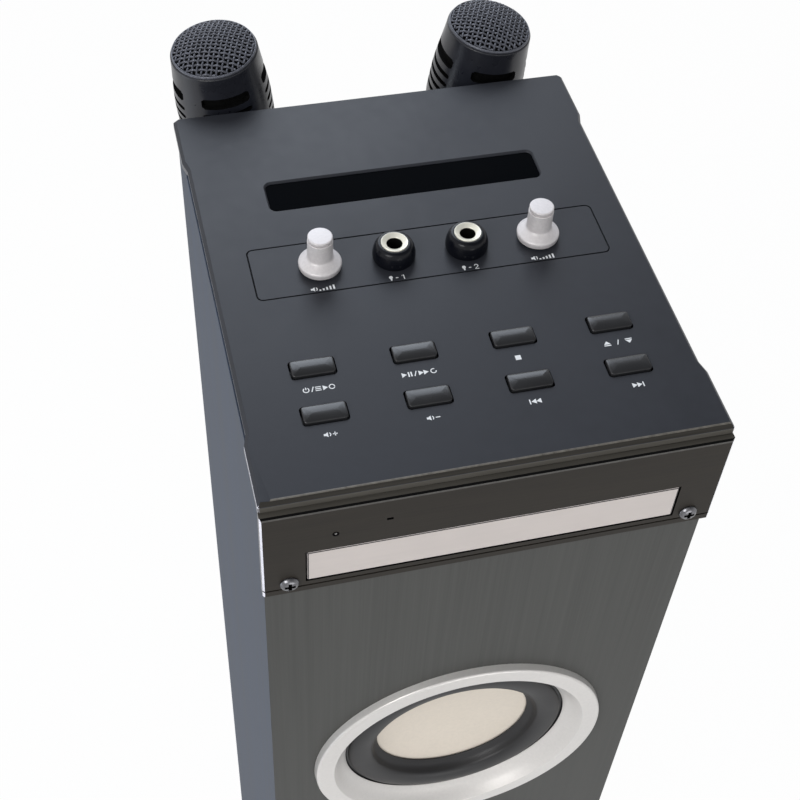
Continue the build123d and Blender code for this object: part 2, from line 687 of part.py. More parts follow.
def pickup_sled():
    """The optical pickup: a cast body on two rods, the lens cup on top and a rack underneath."""
    z1 = tray_z0 - 2.5
    shape = block(-19, 11, sled_y - 11, sled_y + 15, deck_z0 - 1.0, z1)
    for x in rod_xs:
        shape += block(x - 3.2, x + 3.2, sled_y - 10, sled_y + 13, rod_z - 2.6, rod_z + 2.6)
    for x in rod_xs:
        shape -= bar_y(rod_radius + run_gap, sled_y - 20, sled_y + 20, x, rod_z)
    shape += post(7.0, z1 - 0.5, z1 + 1.5, y=sled_y) + post(4.0, z1, tray_z0 + 1.5, y=sled_y)
    shape -= post(2.6, tray_z0 + 0.7, tray_z0 + 3, y=sled_y)
    rack_x = feed_x - feed_module * feed_teeth / 2
    shape += block(4, 11, sled_y - 9, sled_y + 15, feed_z0, deck_z0)
    shape += rack(feed_module, rack_x, 13.6, feed_y, feed_y - sled_travel - 5, feed_y + 6, feed_z0, feed_z1)
    shape += block(9, 14.6, sled_y - 9, sled_y + 15, feed_z0, feed_z1)
    return shape


def feed_gear():
    shape = gear(feed_teeth, feed_module, feed_z0, feed_z1, 180)
    shape += post(1.0, floor_z0 - 12.0, feed_z0 + 0.5)
    return Pos(feed_x, feed_y, 0) * shape


bridge_z0 = tray_z1 + slide_gap + 2.0
bridge_z1 = bridge_z0 + 1.8


def clamp_bridge():
    w = tray_half + panel_gap + loader_wall
    shape = slab(2 * w, 30.0, 3.0, bridge_z0, bridge_z1, y=spindle_y)
    return shape - post(11.0, bridge_z0 - 1, bridge_z1 + 1, y=spindle_y)


def clamp_puck():
    """The clamp that rides on the turntable: its cap hangs on the bridge's edge."""
    z = spindle_top + 2.4 + slide_gap
    neck, cap = bridge_z0 - z, bridge_z1 + slide_gap - z
    profile = [(0, 0), (12.6, 0), (13.4, 0.8), (13.4, 1.6), (9.0, 1.6 + 0.4), (9.0, cap), (13.0, cap),
               (13.0, cap + 1.0), (12.0, cap + 1.5), (0, cap + 1.5)]
    return turned_z(profile, 0, spindle_y, z)


# ---------------------------------------------------------------- drivers

ring_front = baffle_y - ring_rise
seat_y = baffle_y + rebate_depth


def speaker_trim_ring(z):
    """A spun ring: a flat land on the baffle and a wide flare down to the surround."""
    outer, land = ring_radius, ring_radius - ring_land
    throat, throat_y = surround_outer, seat_y - 3.3
    flare = [(throat + (land - throat) * (1 - cos(a)), ring_front + (throat_y - 0.4 - ring_front) * (1 - sin(a)))
             for a in [pi / 2 * i / 6 for i in reversed(range(7))]]
    profile = [(outer, baffle_y), (outer, ring_front + 1.2), (outer - 1.0, ring_front)] + flare + [
               (throat + 0.6, throat_y), (throat + 1.8, throat_y),
               (rebate_radius - 0.5, baffle_y + 0.8), (rebate_radius - 0.5, baffle_y)]
    return turned_y(profile, z)


def speaker_frame(z):
    """The driver's pressed basket with its magnet, plates and pole."""
    neck, bore, plate_y = basket_neck, coil_radius, seat_y + basket_depth
    flange = [(surround_inner + 8, seat_y - 2), (rebate_radius - 2.5, seat_y - 2),
              (rebate_radius - 2.5, seat_y), (surround_outer + 1.0, seat_y), (surround_outer - 6, seat_y + 12),
              (neck, plate_y - 8), (neck, plate_y), (bore + 4, plate_y), (bore + 4, plate_y - 2),
              (neck - 3, plate_y - 2), (neck - 3, plate_y - 9), (surround_inner + 8, seat_y + 8)]
    shape = turned_y(flange, z)
    for k in range(4):
        window = Pos(0, seat_y + 18, 0) * Rot(0, 45 + 90 * k, 0) * Pos(neck + 14, 0, 0) * Box(30, 18, 34)
        shape -= Pos(0, 0, z) * window
    magnet = [(bore + 1.6, plate_y), (magnet_radius, plate_y), (magnet_radius, plate_y + magnet_depth),
              (0, plate_y + magnet_depth), (0, plate_y - 1), (bore - 0.9, plate_y - 1),
              (bore - 0.9, plate_y + magnet_depth - 4), (bore + 1.6, plate_y + magnet_depth - 4)]
    return shape + turned_y(magnet, z)


def speaker_surround(z):
    """The rubber surround: a flange on the basket, a half roll and a lip down to the cone."""
    y = seat_y - 2
    outer, inner = surround_outer - 0.6, surround_inner
    crest = 4.5
    roll = [((outer + 45) / 2 - 1 + 5.6 * cos(a), y - 1 - crest * sin(a))
            for a in [pi * i / 8 for i in range(9)]]
    under = [((outer + 45) / 2 - 1 + 4.6 * cos(a), y - 0.6 - (crest - 1.2) * sin(a))
             for a in [pi * i / 8 for i in reversed(range(9))]]
    lip = [(inner + 2.2, y + 1.2), (inner + 0.6, y + cone_seat - 0.4), (inner + 2.2, y + cone_seat - 0.4),
           (inner + 3.8, y + 1.4)]
    profile = [(outer, y), (outer, y - 1)] + roll + lip + under
    return turned_y(profile, z)


def speaker_cone(z):
    """A shallow dished cone with its voice coil former in the magnet's gap."""
    y = seat_y - 2 + cone_seat
    coil_y = seat_y + basket_depth + 12
    dish = [(surround_inner + 2.4, y), (surround_inner + 2.4, y + 1.2), (30, y + 4.4), (coil_radius + 0.3, y + 7.0),
            (coil_radius + 0.3, coil_y), (coil_radius - 0.3, coil_y), (coil_radius - 0.3, y + 7.0),
            (0, y + 7.4), (0, y + 5.6), (12, y + 5.3), (24, y + 3.6), (33, y + 1.6), (surround_inner - 1.0, y - 0.2)]
    return turned_y(dish, z)


# ---------------------------------------------------------------- back and inside

inlet_x, rocker_x, line_xs = -42.0, -6.0, (30.0, 46.0)
rocker_width, rocker_height = 19.0, 13.0
pivot_in = 2.0


def rear_io_panel():
    shape = extrude(Plane.XZ.offset(-back_y - sheet) * Pos(0, io_z) * RectangleRounded(io_width, io_height, 4.0),
                    sheet)
    shape -= block(inlet_x - 14.2, inlet_x + 14.2, back_y - 1, back_y + sheet + 1, io_z - 10.2, io_z + 10.2)
    gap = panel_gap
    shape -= block(rocker_x - rocker_width / 2 - gap, rocker_x + rocker_width / 2 + gap, back_y - 1,
                   back_y + sheet + 1, io_z - rocker_height / 2 - gap - 1, io_z + rocker_height / 2 + gap + 1)
    for x in line_xs:
        shape -= bar_y(phono_radius + 0.15, back_y - 1, back_y + sheet + 1, x, io_z)
    for side in (-1, 1):
        x0, x1 = sorted((rocker_x + side * (rocker_width / 2 + gap), rocker_x + side * (rocker_width / 2 + 4)))
        cheek = block(x0, x1, back_y - 12, back_y, io_z - 9, io_z + 9)
        shape += cheek - bar_x(1.5 + run_gap, x0 - 1, x1 + 1, back_y - pivot_in, io_z)
    return shape


def mains_inlet():
    """A two-pin inlet: a moulded shroud with a figure-of-eight recess and two pins."""
    body = block(inlet_x - 14, inlet_x + 14, back_y - 18, back_y + sheet + 1.5, io_z - 10, io_z + 10)
    recess = extrude(Plane.XZ.offset(-back_y - sheet - 2) * Pos(inlet_x, io_z) * SlotOverall(17.0, 9.0), 14.0)
    body -= recess
    for x in (inlet_x - 4.3, inlet_x + 4.3):
        body += bar_y(1.2, back_y - 13, back_y - 1, x, io_z)
    return body


def power_switch():
    """A rocker on a cross pin, resting in its off position."""
    w, h = rocker_width / 2, rocker_height / 2
    profile = Polygon((-7, -h + 1), (0, -h), (4.0, -h), (3.2, 0), (4.0, h), (0, h), (-7, h - 1), align=None)
    body = Pos(-w, 0, 0) * extrude(Plane.YZ * profile, 2 * w)
    body += bar_x(1.5, -w - 3.5, w + 3.5)
    return Pos(rocker_x, back_y - pivot_in, io_z) * Rot(-rocker_tilt, 0, 0) * body


def line_in_sockets():
    def socket(x):
        shape = bar_y(phono_radius, back_y - 10, back_y + sheet + 8, x, io_z)
        shape += bar_y(phono_radius + 1.85, back_y + sheet, back_y + sheet + phono_flange, x, io_z)
        shape += block(x - 6, x + 6, back_y - 14, back_y, io_z - 7, io_z + 7)
        return shape - bar_y(1.6, back_y - 4, back_y + sheet + 9, x, io_z)
    return [socket(x) for x in line_xs]


def bass_port():
    """A flared port tube with its flange on the back panel."""
    r = port_radius
    y = back_y
    wall = r + port_wall
    profile = [(r, y - port_length), (wall, y - port_length), (wall, y), (r + 12, y), (r + 12, y + 1.2),
               (r + 10.5, y + 2.5), (r + 6, y + 2.5), (r + 1.5, y - 1), (r, y - 6)]
    return turned_y(profile, port_z)


def power_transformer():
    z = cabinet_bottom + board
    core = block(-28, 28, -20, 20, z + 2, z + 48)
    coil = block(-20, 20, -34, 34, z + 11, z + 39)
    coil = fillet(coil.edges().filter_by(Axis.X), 4.0)
    strap = block(-40, 40, -20, 20, z, z + 2)
    return core + coil + strap


def amplifier_board():
    """The amplifier on its pillars behind the input panel, with a finned heat sink."""
    y1 = back_y - board - amplifier_standoff
    y0 = y1 - circuit_board
    w, z0 = amplifier_width / 2, io_z + amplifier_rise
    z1 = z0 + amplifier_height
    shape = block(-w, w, y0, y1, z0, z1)
    for x in (6 - w, w - 6):
        for z in (z0 + 6, z1 - 6):
            shape += bar_y(3.0, y1 - 0.5, back_y - board, x, z)
    sink, sink_z1 = heat_sink_width / 2, z1 - 10
    sink_z0 = sink_z1 - heat_sink_height
    shape += block(-sink, sink, y0 - 6, y0, sink_z0, sink_z1)
    fin_pitch = (heat_sink_width - fin_thickness) / (fin_count - 1)
    for i in range(fin_count):
        x = fin_pitch * i - sink
        shape += block(x, x + fin_thickness, y0 - 6 - heat_sink_depth, y0 - 5.5, sink_z0, sink_z1)
    for i in range(3):
        shape += bar_y(capacitor_radius, y0 - capacitor_length, y0 + 0.5,
                       capacitor_pitch * i - sink, z0 + 18)
    return shape


# ---------------------------------------------------------------- microphones

def grip_radius(s):
    """The handle's radius at distance s below the head's rim."""
    return grip_top_radius + (grip_tail_radius - grip_top_radius) * (s - grip_top) / (grip_tail - grip_top)


def in_holder_frame(side, shape):
    """The holders splay to the sides and lean forward a little."""
    rim = Pos(mic_shift + side * mic_x, mic_y, deck_top + mic_rise)
    return rim * Rot(0, side * mic_tilt, 0) * Rot(mic_lean, 0, 0) * shape


def in_mic_frame(side, shape):
    """Each microphone sits a little higher or lower in its tapered holder."""
    return in_holder_frame(side, Pos(0, 0, mic_seats[side]) * shape)


def mic_body(side):
    """The moulded handle and vented collar, upright about its own axis."""
    profile = [(0, -4), (rim_radius - 2, -4), (rim_radius - 2, 0), (rim_radius, 0), (head_radius - 0.8, -18),
               (head_radius, -27), (head_radius, -46), (head_radius - 2.5, -54), (grip_top_radius + 1.5, -68),
               (grip_top_radius, -grip_top), (grip_tail_radius, -grip_tail), (grip_tail_radius - 2, -grip_tail - 4),
               (5.0, -grip_tail - 5), (4.0, -grip_tail - 15), (0, -grip_tail - 15)]
    shape = turned_z(profile)
    levels = [(-12.5, 6.0)] + [(-20.0 - 5.0 * i, 2.4) for i in range(4)]
    for z, tall in levels:
        for k in range(4):
            cut = Rot(0, 0, 90 * k) * Pos(head_radius, 0, z) * Box(5.0, 21.0, tall)
            shape -= cut
    s = (grip_top + holder_top) / 2
    shape -= Pos(0, grip_radius(s), -s) * Box(7.0, 5.0, 15.0)
    return in_mic_frame(side, shape)


def mic_grille(side):
    """The domed cap over the capsule."""
    outer = [(rim_radius - 2.15, 0.2), (rim_radius - 0.6, 0.2), (rim_radius - 0.6, 1.4)]
    radius = rim_radius - 1.0
    bow = [(radius * cos(a), 1.4 + (dome_height - 1.4) * sin(a)) for a in [pi / 2 * i / 6 for i in range(7)]]
    inner = [((radius - 1.2) * cos(a), 1.2 + (dome_height - 2.4) * sin(a))
             for a in [pi / 2 * i / 6 for i in reversed(range(7))]]
    shape = turned_z(outer + bow + inner)
    return in_mic_frame(side, shape + post(rim_radius - 2.3, -3.8, 0.6) - post(rim_radius - 3.6, -3.9, 0.7))


def mic_switch(side):
    s = (grip_top + holder_top) / 2
    g = grip_radius(s)
    shape = Pos(0, g - 0.6, -s - 1.5) * Box(6.4, 3.0, 9.0)
    shape += Pos(0, g + 1.4, -s - 1.5) * Box(5.0, 1.6, 3.0)
    return in_mic_frame(side, shape)


def mic_holder(side):
    """A tapered cup round the handle on an arm from the back panel."""
    top, bottom = holder_top, holder_bottom
    gap = slide_gap
    profile = [(grip_radius(top) + gap, -top), (grip_radius(top) + holder_wall, -top),
               (grip_radius(bottom) + holder_wall, -bottom), (grip_radius(bottom) + gap, -bottom)]
    cup = in_holder_frame(side, turned_z(profile))
    middle = (top + bottom) / 2
    reach = middle * cos(radians(mic_lean))
    x = mic_shift + side * (mic_x - reach * sin(radians(mic_tilt)))
    y = mic_y + middle * sin(radians(mic_lean))
    z = deck_top + mic_rise - reach * cos(radians(mic_tilt))
    r = grip_radius(middle) + 1.5
    arm = block(x - 5, x + 5, back_y, y - r, z - 12, z + 12)
    plate = block(x - 13, x + 13, back_y, back_y + 3.0, z - 20, z + 20)
    for dz in (-15, 15):
        plate += bar_y(3.0, back_y + 2.5, back_y + 4.5, x, z + dz)
    bore = in_holder_frame(side, turned_z([(0, -top + 5), (grip_radius(top - 5) + gap, -top + 5),
                                        (grip_radius(bottom + 5) + gap, -bottom - 5), (0, -bottom - 5)]))
    return (cup + arm + plate) - bore


# ---------------------------------------------------------------- all pieces

def main():
    os.makedirs("parts", exist_ok=True)
    save("front_baffle", front_baffle())
    for side, name in ((-1, "left"), (1, "right")):
        save(f"{name}_side_panel", side_panel(side))
        save(f"{name}_mic_body", mic_body(side))
        save(f"{name}_mic_grille", mic_grille(side))
        save(f"{name}_mic_switch", mic_switch(side))
    save("mic_holders", *both(mic_holder))
    save("back_panel", back_panel())
    save("inner_shelves", *inner_shelves())
    save("base_plate", base_plate())
    save("rubber_feet", *[rubber_foot(x, y) for x, y in foot_places()])
    save("screws", *screws())
    save("top_panel", top_panel())
    save("front_bezel", front_bezel())
    save("indicator_board", indicator_board())
    save("display_window", display_window())
    save("control_board", *control_board())
    save("mic_jack_collars", *both(mic_jack_collar))
    save("mic_jack_sockets", *both(mic_jack_socket))
    save("mic_volume_knob", *knob(-1))
    save("mic_echo_knob", *knob(1))
    for name, x, y in button_places():
        save(name, button(x, y))
    save("loader_chassis", loader_chassis())
    save("disc_tray", disc_tray())
    save("tray_door", tray_door())
    save("tray_gear", tray_gear())
    save("loading_pinion", loading_pinion())
    save("loading_motor", motor(tray_gear_x + wheel_pitch + pinion_pitch, tray_gear_y, floor_z0,
                                motor_length, motor_radius))
    save("traverse_deck", traverse_deck())
    save("traverse_motors", *traverse_motors())
    save("turntable", turntable())
    save("pickup_sled", pickup_sled())
    save("sled_rods", *[bar_y(rod_radius, rod_y0, rod_y1, x, rod_z) for x in rod_xs])
    save("feed_gear", feed_gear())
    save("clamp_bridge", clamp_bridge())
    save("clamp_puck", clamp_puck())
    places = [below(depth) for depth in driver_depths]
    save("speaker_trim_rings", *[speaker_trim_ring(z) for z in places])
    save("speaker_frames", *[speaker_frame(z) for z in places])
    for name, z in zip(("upper", "lower"), places):
        save(f"{name}_surround", speaker_surround(z))
        save(f"{name}_cone", speaker_cone(z))
    save("rear_io_panel", rear_io_panel())
    save("mains_inlet", mains_inlet())
    save("power_switch", power_switch())
    save("line_in_sockets", *line_in_sockets())
    save("bass_port", bass_port())
    save("power_transformer", power_transformer())
    save("amplifier_board", amplifier_board())


main()
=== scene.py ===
import json
import math

import bmesh
import bpy
from mathutils import Matrix, Vector


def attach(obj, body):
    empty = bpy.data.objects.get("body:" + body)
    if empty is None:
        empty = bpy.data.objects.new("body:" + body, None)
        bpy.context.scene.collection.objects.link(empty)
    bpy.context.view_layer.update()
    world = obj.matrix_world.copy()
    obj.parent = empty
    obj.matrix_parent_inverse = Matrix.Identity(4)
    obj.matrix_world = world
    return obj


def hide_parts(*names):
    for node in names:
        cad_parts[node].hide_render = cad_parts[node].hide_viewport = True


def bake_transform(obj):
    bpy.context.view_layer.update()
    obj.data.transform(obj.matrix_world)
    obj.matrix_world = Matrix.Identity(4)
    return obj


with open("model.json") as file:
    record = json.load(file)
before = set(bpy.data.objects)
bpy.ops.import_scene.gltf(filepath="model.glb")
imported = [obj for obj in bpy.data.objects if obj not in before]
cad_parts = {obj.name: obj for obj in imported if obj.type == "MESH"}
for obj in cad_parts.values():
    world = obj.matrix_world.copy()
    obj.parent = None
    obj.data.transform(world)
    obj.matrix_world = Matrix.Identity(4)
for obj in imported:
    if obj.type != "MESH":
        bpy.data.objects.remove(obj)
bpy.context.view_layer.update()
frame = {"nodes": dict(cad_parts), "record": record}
nodes = frame["nodes"]

# Lengths are in millimetres, and are turned to metres where a mesh is made. The floor is at z = 0.
MM = 0.001
DECK = 1000.0                                   # the deck's top
FRONT = -115.0                                  # the bezel's front
CREASE_Y = -110.2                               # here the deck's top starts to slope down
DECK_FRONT, FRONT_DROP = -112.3, 1.2            # to its front face, by this much
BEZEL_CREASE = DECK - 6.5                       # and here the bezel's front starts to lean back
CONTROL_X, CONTROL_Y = 1.0, 6.4                 # the middle of the knobs and sockets
KNOB_X, JACK_X = 48.8, 16.3                     # each to its side of that middle
BUTTON_PITCH, BUTTON_ROWS = 42.2, (-49.2, -73.4)
LAMP_X, LAMP_Z = -66.4, DECK - 22.6
BEZEL_SCREW_X, BEZEL_SCREW_Z = 85.12, DECK - 51.6
BASE_SCREW_X, BASE_SCREW_Y, BASE_SCREW_Z = 68.9, 70.0, 8.0


# ---------------------------------------------------------------- materials

NOISE_LOW, NOISE_HIGH = 0.3, 0.7                # the part of a noise's range that is spread out
ROUGH_SPREAD = 0.06
COAT_ROUGHNESS = 0.1


def ramp_between(tree, source, dark, light):
    """A colour that runs from dark to light as the source rises."""
    ramp = tree.nodes.new("ShaderNodeValToRGB")
    for element, position, color in zip(ramp.color_ramp.elements, (NOISE_LOW, NOISE_HIGH), (dark, light)):
        element.position = position
        element.color = (*color, 1)
    tree.links.new(source, ramp.inputs["Fac"])
    return ramp.outputs["Color"]


def noise_of(tree, place, scale, detail=3.0):
    """Noise with its own scale along each axis."""
    mapping = tree.nodes.new("ShaderNodeMapping")
    mapping.inputs["Scale"].default_value = scale
    tree.links.new(place, mapping.inputs["Vector"])
    noise = tree.nodes.new("ShaderNodeTexNoise")
    noise.inputs["Scale"].default_value = 1.0
    noise.inputs["Detail"].default_value = detail
    tree.links.new(mapping.outputs["Vector"], noise.inputs["Vector"])
    return noise.outputs["Fac"]


def weighted(tree, sources):
    """The weighted mean of several noises."""
    total = None
    share = sum(weight for _, weight in sources)
    for source, weight in sources:
        part = tree.nodes.new("ShaderNodeMath")
        part.operation = "MULTIPLY_ADD"
        part.inputs[1].default_value = weight / share
        part.inputs[2].default_value = 0.0
        tree.links.new(source, part.inputs[0])
        if total is not None:
            tree.links.new(total, part.inputs[2])
        total = part.outputs[0]
    return total


def finish(name, color, rough, contrast=0.06, layers=(((35, 35, 35), 1.0),), bump=None, metallic=0.0,
           specular=0.22, coat=0.0):
    """A material whose colour, roughness and bump come from noise in the object's own coordinates.

    layers holds the scale and weight of each noise, and bump a noise's scale, its strength and its
    depth in mm."""
    material = bpy.data.materials.new(name)
    material.use_nodes = True
    tree = material.node_tree
    shader = tree.nodes["Principled BSDF"]
    place = tree.nodes.new("ShaderNodeTexCoord").outputs["Object"]
    mottle = weighted(tree, [(noise_of(tree, place, scale), weight) for scale, weight in layers])
    dark = [c * (1 - contrast) for c in color]
    light = [min(1.0, c * (1 + contrast)) for c in color]
    tree.links.new(ramp_between(tree, mottle, dark, light), shader.inputs["Base Color"])
    spread = tree.nodes.new("ShaderNodeMapRange")
    spread.inputs["From Min"].default_value = NOISE_LOW
    spread.inputs["From Max"].default_value = NOISE_HIGH
    spread.inputs["To Min"].default_value = rough - ROUGH_SPREAD
    spread.inputs["To Max"].default_value = rough + ROUGH_SPREAD
    tree.links.new(mottle, spread.inputs["Value"])
    tree.links.new(spread.outputs["Result"], shader.inputs["Roughness"])
    if bump:
        scale, strength, depth = bump
        relief = tree.nodes.new("ShaderNodeBump")
        relief.inputs["Strength"].default_value = strength
        relief.inputs["Distance"].default_value = depth * MM
        tree.links.new(noise_of(tree, place, scale, 2.0), relief.inputs["Height"])
        tree.links.new(relief.outputs["Normal"], shader.inputs["Normal"])
    shader.inputs["Metallic"].default_value = metallic
    shader.inputs["Specular IOR Level"].default_value = specular
    shader.inputs["Coat Weight"].default_value = coat
    shader.inputs["Coat Roughness"].default_value = COAT_ROUGHNESS
    return material


# Upright grain on the cabinet, brushing along x on the bezel's foil, and a fine scale for bumps.
GRAIN = (((1500, 1500, 14), 1.0), ((420, 420, 5), 1.0), ((90, 90, 2.5), 0.8))
SIDE_GRAIN = (((1500, 1500, 14), 0.5), ((420, 420, 5), 0.8), ((150, 150, 2.5), 0.8), ((65, 65, 1.2), 1.3))
GRAIN_BUMP = ((1500, 1500, 14), 0.35, 0.05)
FOIL = (((10, 1500, 1500), 1), ((30, 200, 200), 0.8))
FOIL_BUMP = ((14, 1500, 1500), 0.3, 0.04)
FINE = (2600, 2600, 2600)
MATERIALS = {
    "cabinet_front": finish("cabinet_front", (0.068, 0.068, 0.064), 0.52, 0.22, GRAIN, GRAIN_BUMP,
                            specular=0.18),
    # The side panels carry the front's foil, tinted blue for the bluish light from the left that falls on
    # them: painted light.
    "cabinet_side": finish("cabinet_side", (0.044, 0.056, 0.081), 0.60, 0.42, SIDE_GRAIN, GRAIN_BUMP,
                           specular=0.15),
    "raw_board": finish("raw_board", (0.42, 0.32, 0.22), 0.85, 0.25,
                        (((900, 900, 900), 1), ((60, 60, 60), 1)), (FINE, 0.6, 0.2), specular=0.2),
    "plinth_black": finish("plinth_black", (0.026, 0.026, 0.028), 0.42, 0.12,
                           bump=((900, 900, 900), 0.25, 0.05)),
    "foot_rubber": finish("foot_rubber", (0.028, 0.028, 0.028), 0.8, 0.2, bump=(FINE, 0.5, 0.08),
                          specular=0.25),
    "screw_steel": finish("screw_steel", (0.15, 0.15, 0.16), 0.24, 0.2, (((900, 900, 900), 1),),
                          (FINE, 0.3, 0.03), metallic=0.85, specular=0.5),
    "deck_plate": finish("deck_plate", (0.0275, 0.0295, 0.0365), 0.42, 0.11,
                         (((14, 14, 14), 1), ((160, 160, 160), 0.6)), ((3200, 3200, 3200), 0.35, 0.03)),
    "bezel_foil": finish("bezel_foil", (0.0270, 0.0232, 0.0190), 0.44, 0.2, FOIL, FOIL_BUMP, specular=0.10),
    "circuit_green": finish("circuit_green", (0.03, 0.16, 0.07), 0.35, 0.2, (((300, 300, 300), 1),),
                            coat=0.3),
    "window_smoke": finish("window_smoke", (0.0010, 0.0014, 0.0022), 0.24, 0.2, specular=0.004),
    "jack_black": finish("jack_black", (0.0045, 0.0052, 0.0085), 0.22, 0.15, bump=(FINE, 0.2, 0.03),
                         specular=0.2),
    "jack_metal": finish("jack_metal", (0.88, 0.85, 0.74), 0.34, 0.06, metallic=0.35),
    "knob_silver": finish("knob_silver", (0.735, 0.70, 0.70), 0.48, 0.05, (((900, 900, 900), 1),),
                          (FINE, 0.25, 0.02), metallic=0.22),
    "button_black": finish("button_black", (0.021, 0.0213, 0.0230), 0.24, 0.12, specular=0.38,
                           bump=((260, 260, 260), 0.10, 0.04)),
    "door_silver": finish("door_silver", (0.60, 0.545, 0.515), 0.38, 0.03,
                          (((40, 500, 500), 1), ((60, 60, 60), 1)), (FINE, 0.25, 0.02), metallic=0.25),
    "loader_grey": finish("loader_grey", (0.15, 0.15, 0.16), 0.55, 0.1, bump=(FINE, 0.4, 0.05)),
    "tray_black": finish("tray_black", (0.028, 0.028, 0.031), 0.5, 0.12, bump=(FINE, 0.4, 0.05)),
    "gear_white": finish("gear_white", (0.76, 0.75, 0.70), 0.45, 0.05, bump=(FINE, 0.2, 0.03)),
    "bare_steel": finish("bare_steel", (0.58, 0.58, 0.60), 0.34, 0.12,
                         (((600, 600, 600), 1), ((40, 40, 40), 1)), (FINE, 0.3, 0.03), metallic=0.95),
    "motor_can": finish("motor_can", (0.52, 0.52, 0.54), 0.30, 0.12, (((900, 900, 30), 1),), metallic=0.95),
    "turntable_black": finish("turntable_black", (0.03, 0.03, 0.034), 0.5, 0.15, bump=(FINE, 0.4, 0.05)),
    "sled_black": finish("sled_black", (0.05, 0.05, 0.055), 0.48, 0.2, bump=((1800, 1800, 1800), 0.5, 0.08)),
    "ring_silver": finish("ring_silver", (0.69, 0.665, 0.64), 0.36, 0.05,
                          (((700, 700, 700), 1), ((14, 14, 14), 1)), ((700, 700, 700), 0.08, 0.02),
                          metallic=0.35),
    "cone_silver": finish("cone_silver", (0.76, 0.685, 0.59), 0.44, 0.05,
                          (((500, 500, 500), 1), ((20, 20, 20), 1)), (FINE, 0.3, 0.03), metallic=0.25),
    "surround_rubber": finish("surround_rubber", (0.0195, 0.0192, 0.0205), 0.46, 0.12,
                              bump=(FINE, 0.35, 0.04), specular=0.33),
    "frame_black": finish("frame_black", (0.035, 0.035, 0.036), 0.5, 0.12,
                          bump=((1200, 1200, 1200), 0.4, 0.06)),
    "io_black": finish("io_black", (0.032, 0.032, 0.034), 0.6, 0.12, bump=((1600, 1600, 1600), 0.7, 0.12)),
    "switch_black": finish("switch_black", (0.015, 0.015, 0.015), 0.2, 0.1, coat=0.3),
    "socket_body": finish("socket_body", (0.03, 0.03, 0.031), 0.45, 0.1, bump=(FINE, 0.4, 0.05)),
    "port_black": finish("port_black", (0.026, 0.026, 0.028), 0.45, 0.1, bump=(FINE, 0.3, 0.05)),
    "core_steel": finish("core_steel", (0.30, 0.29, 0.28), 0.42, 0.3, (((20, 2200, 20), 1),), metallic=0.9),
    "mic_black": finish("mic_black", (0.0150, 0.0160, 0.0215), 0.30, 0.12, (((120, 120, 120), 1),),
                        ((700, 700, 700), 0.08, 0.02), specular=0.34),
    "mic_mesh": finish("mic_mesh", (0.098, 0.102, 0.122), 0.40, 0.25, (((500, 500, 500), 1),), metallic=0.3,
                       specular=0.4),
    "holder_black": finish("holder_black", (0.027, 0.027, 0.029), 0.5, 0.12,
                           bump=((1500, 1500, 1500), 0.5, 0.08)),
}
# Materials of single faces and small trim that are no slot of their own: print, foam, a lens and the deck's
# front strip, and painted highlights, a painted lighter copy of the strip and painted shade.
# Painted highlight: the lighter rounding along the deck's front crease.
CREASE_HIGHLIGHT = finish("deck_crease_highlight", (0.13, 0.118, 0.100), 0.32, 0.3, (((400, 400, 400), 1),), specular=0.6)
# Painted highlight: the lighter line along the bezel's top front edge.
BEZEL_TOP_HIGHLIGHT = finish("bezel_top_highlight", (0.062, 0.058, 0.053), 0.36, 0.3, (((400, 400, 400), 1),), specular=0.3)
INK = finish("label_ink", (0.86, 0.87, 0.88), 0.5, 0.08, (((2500, 2500, 2500), 1),))
FOAM = finish("mic_foam", (0.006, 0.006, 0.006), 0.95, 0.4, (((1500, 1500, 1500), 1),), (FINE, 0.9, 0.2),
              specular=0.1)
LAMP = finish("lamp_lens", (0.16, 0.15, 0.145), 0.12, 0.2, coat=0.5, specular=0.5)
# Painted highlight: a near-white reflection on the bezel's corner bevels and the front ears' outer roundings.
EDGE_HIGHLIGHT = finish("chamfer_painted_highlight", (0.84, 0.84, 0.95), 0.26, 0.08, (((300, 300, 300), 1),), metallic=0.7,
                 specular=0.5)
STRIP = finish("deck_strip", (0.040, 0.0365, 0.0315), 0.44, 0.2, FOIL, FOIL_BUMP, specular=0.12)
# Painted light: a lighter copy of the strip that brightens the deck's upright front face, which gets little
# light, and is also laid on the bezel's ledge.
STRIP_PAINTED_LIGHTER = finish("deck_strip_painted_lighter", (0.078, 0.072, 0.062), 0.44, 0.2, FOIL, FOIL_BUMP, specular=0.12)
# Painted shade: a darker navy on the side walls of the deck and the bezel, for the dark line of shade beside
# them.
SIDE_SHADE = finish("side_wall_painted_shade", (0.016, 0.020, 0.034), 0.30, 0.2, (((300, 300, 300), 1),), specular=0.25)
# Painted shade: near-black laid on the walls and floors of openings, recesses and gaps where shade falls.
SHADOW = finish("painted_slot_shadow", (0.004, 0.004, 0.004), 0.8, 0.3, (((600, 600, 600), 1),), specular=0.03)
RECORD_SLOTS = {part["node"]: part["material_slot"] for part in frame["record"]["subparts"]}


# ---------------------------------------------------------------- mesh making

def to_object(name, bm, material, smooth_angle=38.0):
    """A finished bmesh, in millimetres, as an object in metres."""
    bmesh.ops.scale(bm, vec=(MM, MM, MM), verts=bm.verts)
    bmesh.ops.recalc_face_normals(bm, faces=bm.faces)
    mesh = bpy.data.meshes.new(name)
    bm.to_mesh(mesh)
    bm.free()
    obj = bpy.data.objects.new(name, mesh)
    bpy.context.scene.collection.objects.link(obj)
    mesh.materials.append(material)
    shade(obj, smooth_angle)
    return obj


def shade(obj, smooth_angle=38.0):
    obj.data.shade_smooth()
    obj.data.set_sharp_from_angle(angle=math.radians(smooth_angle))


def apply_modifiers(obj):
    bpy.context.view_layer.objects.active = obj
    for modifier in list(obj.modifiers):
        with bpy.context.temp_override(object=obj, active_object=obj, selected_objects=[obj]):
            bpy.ops.object.modifier_apply(modifier=modifier.name)


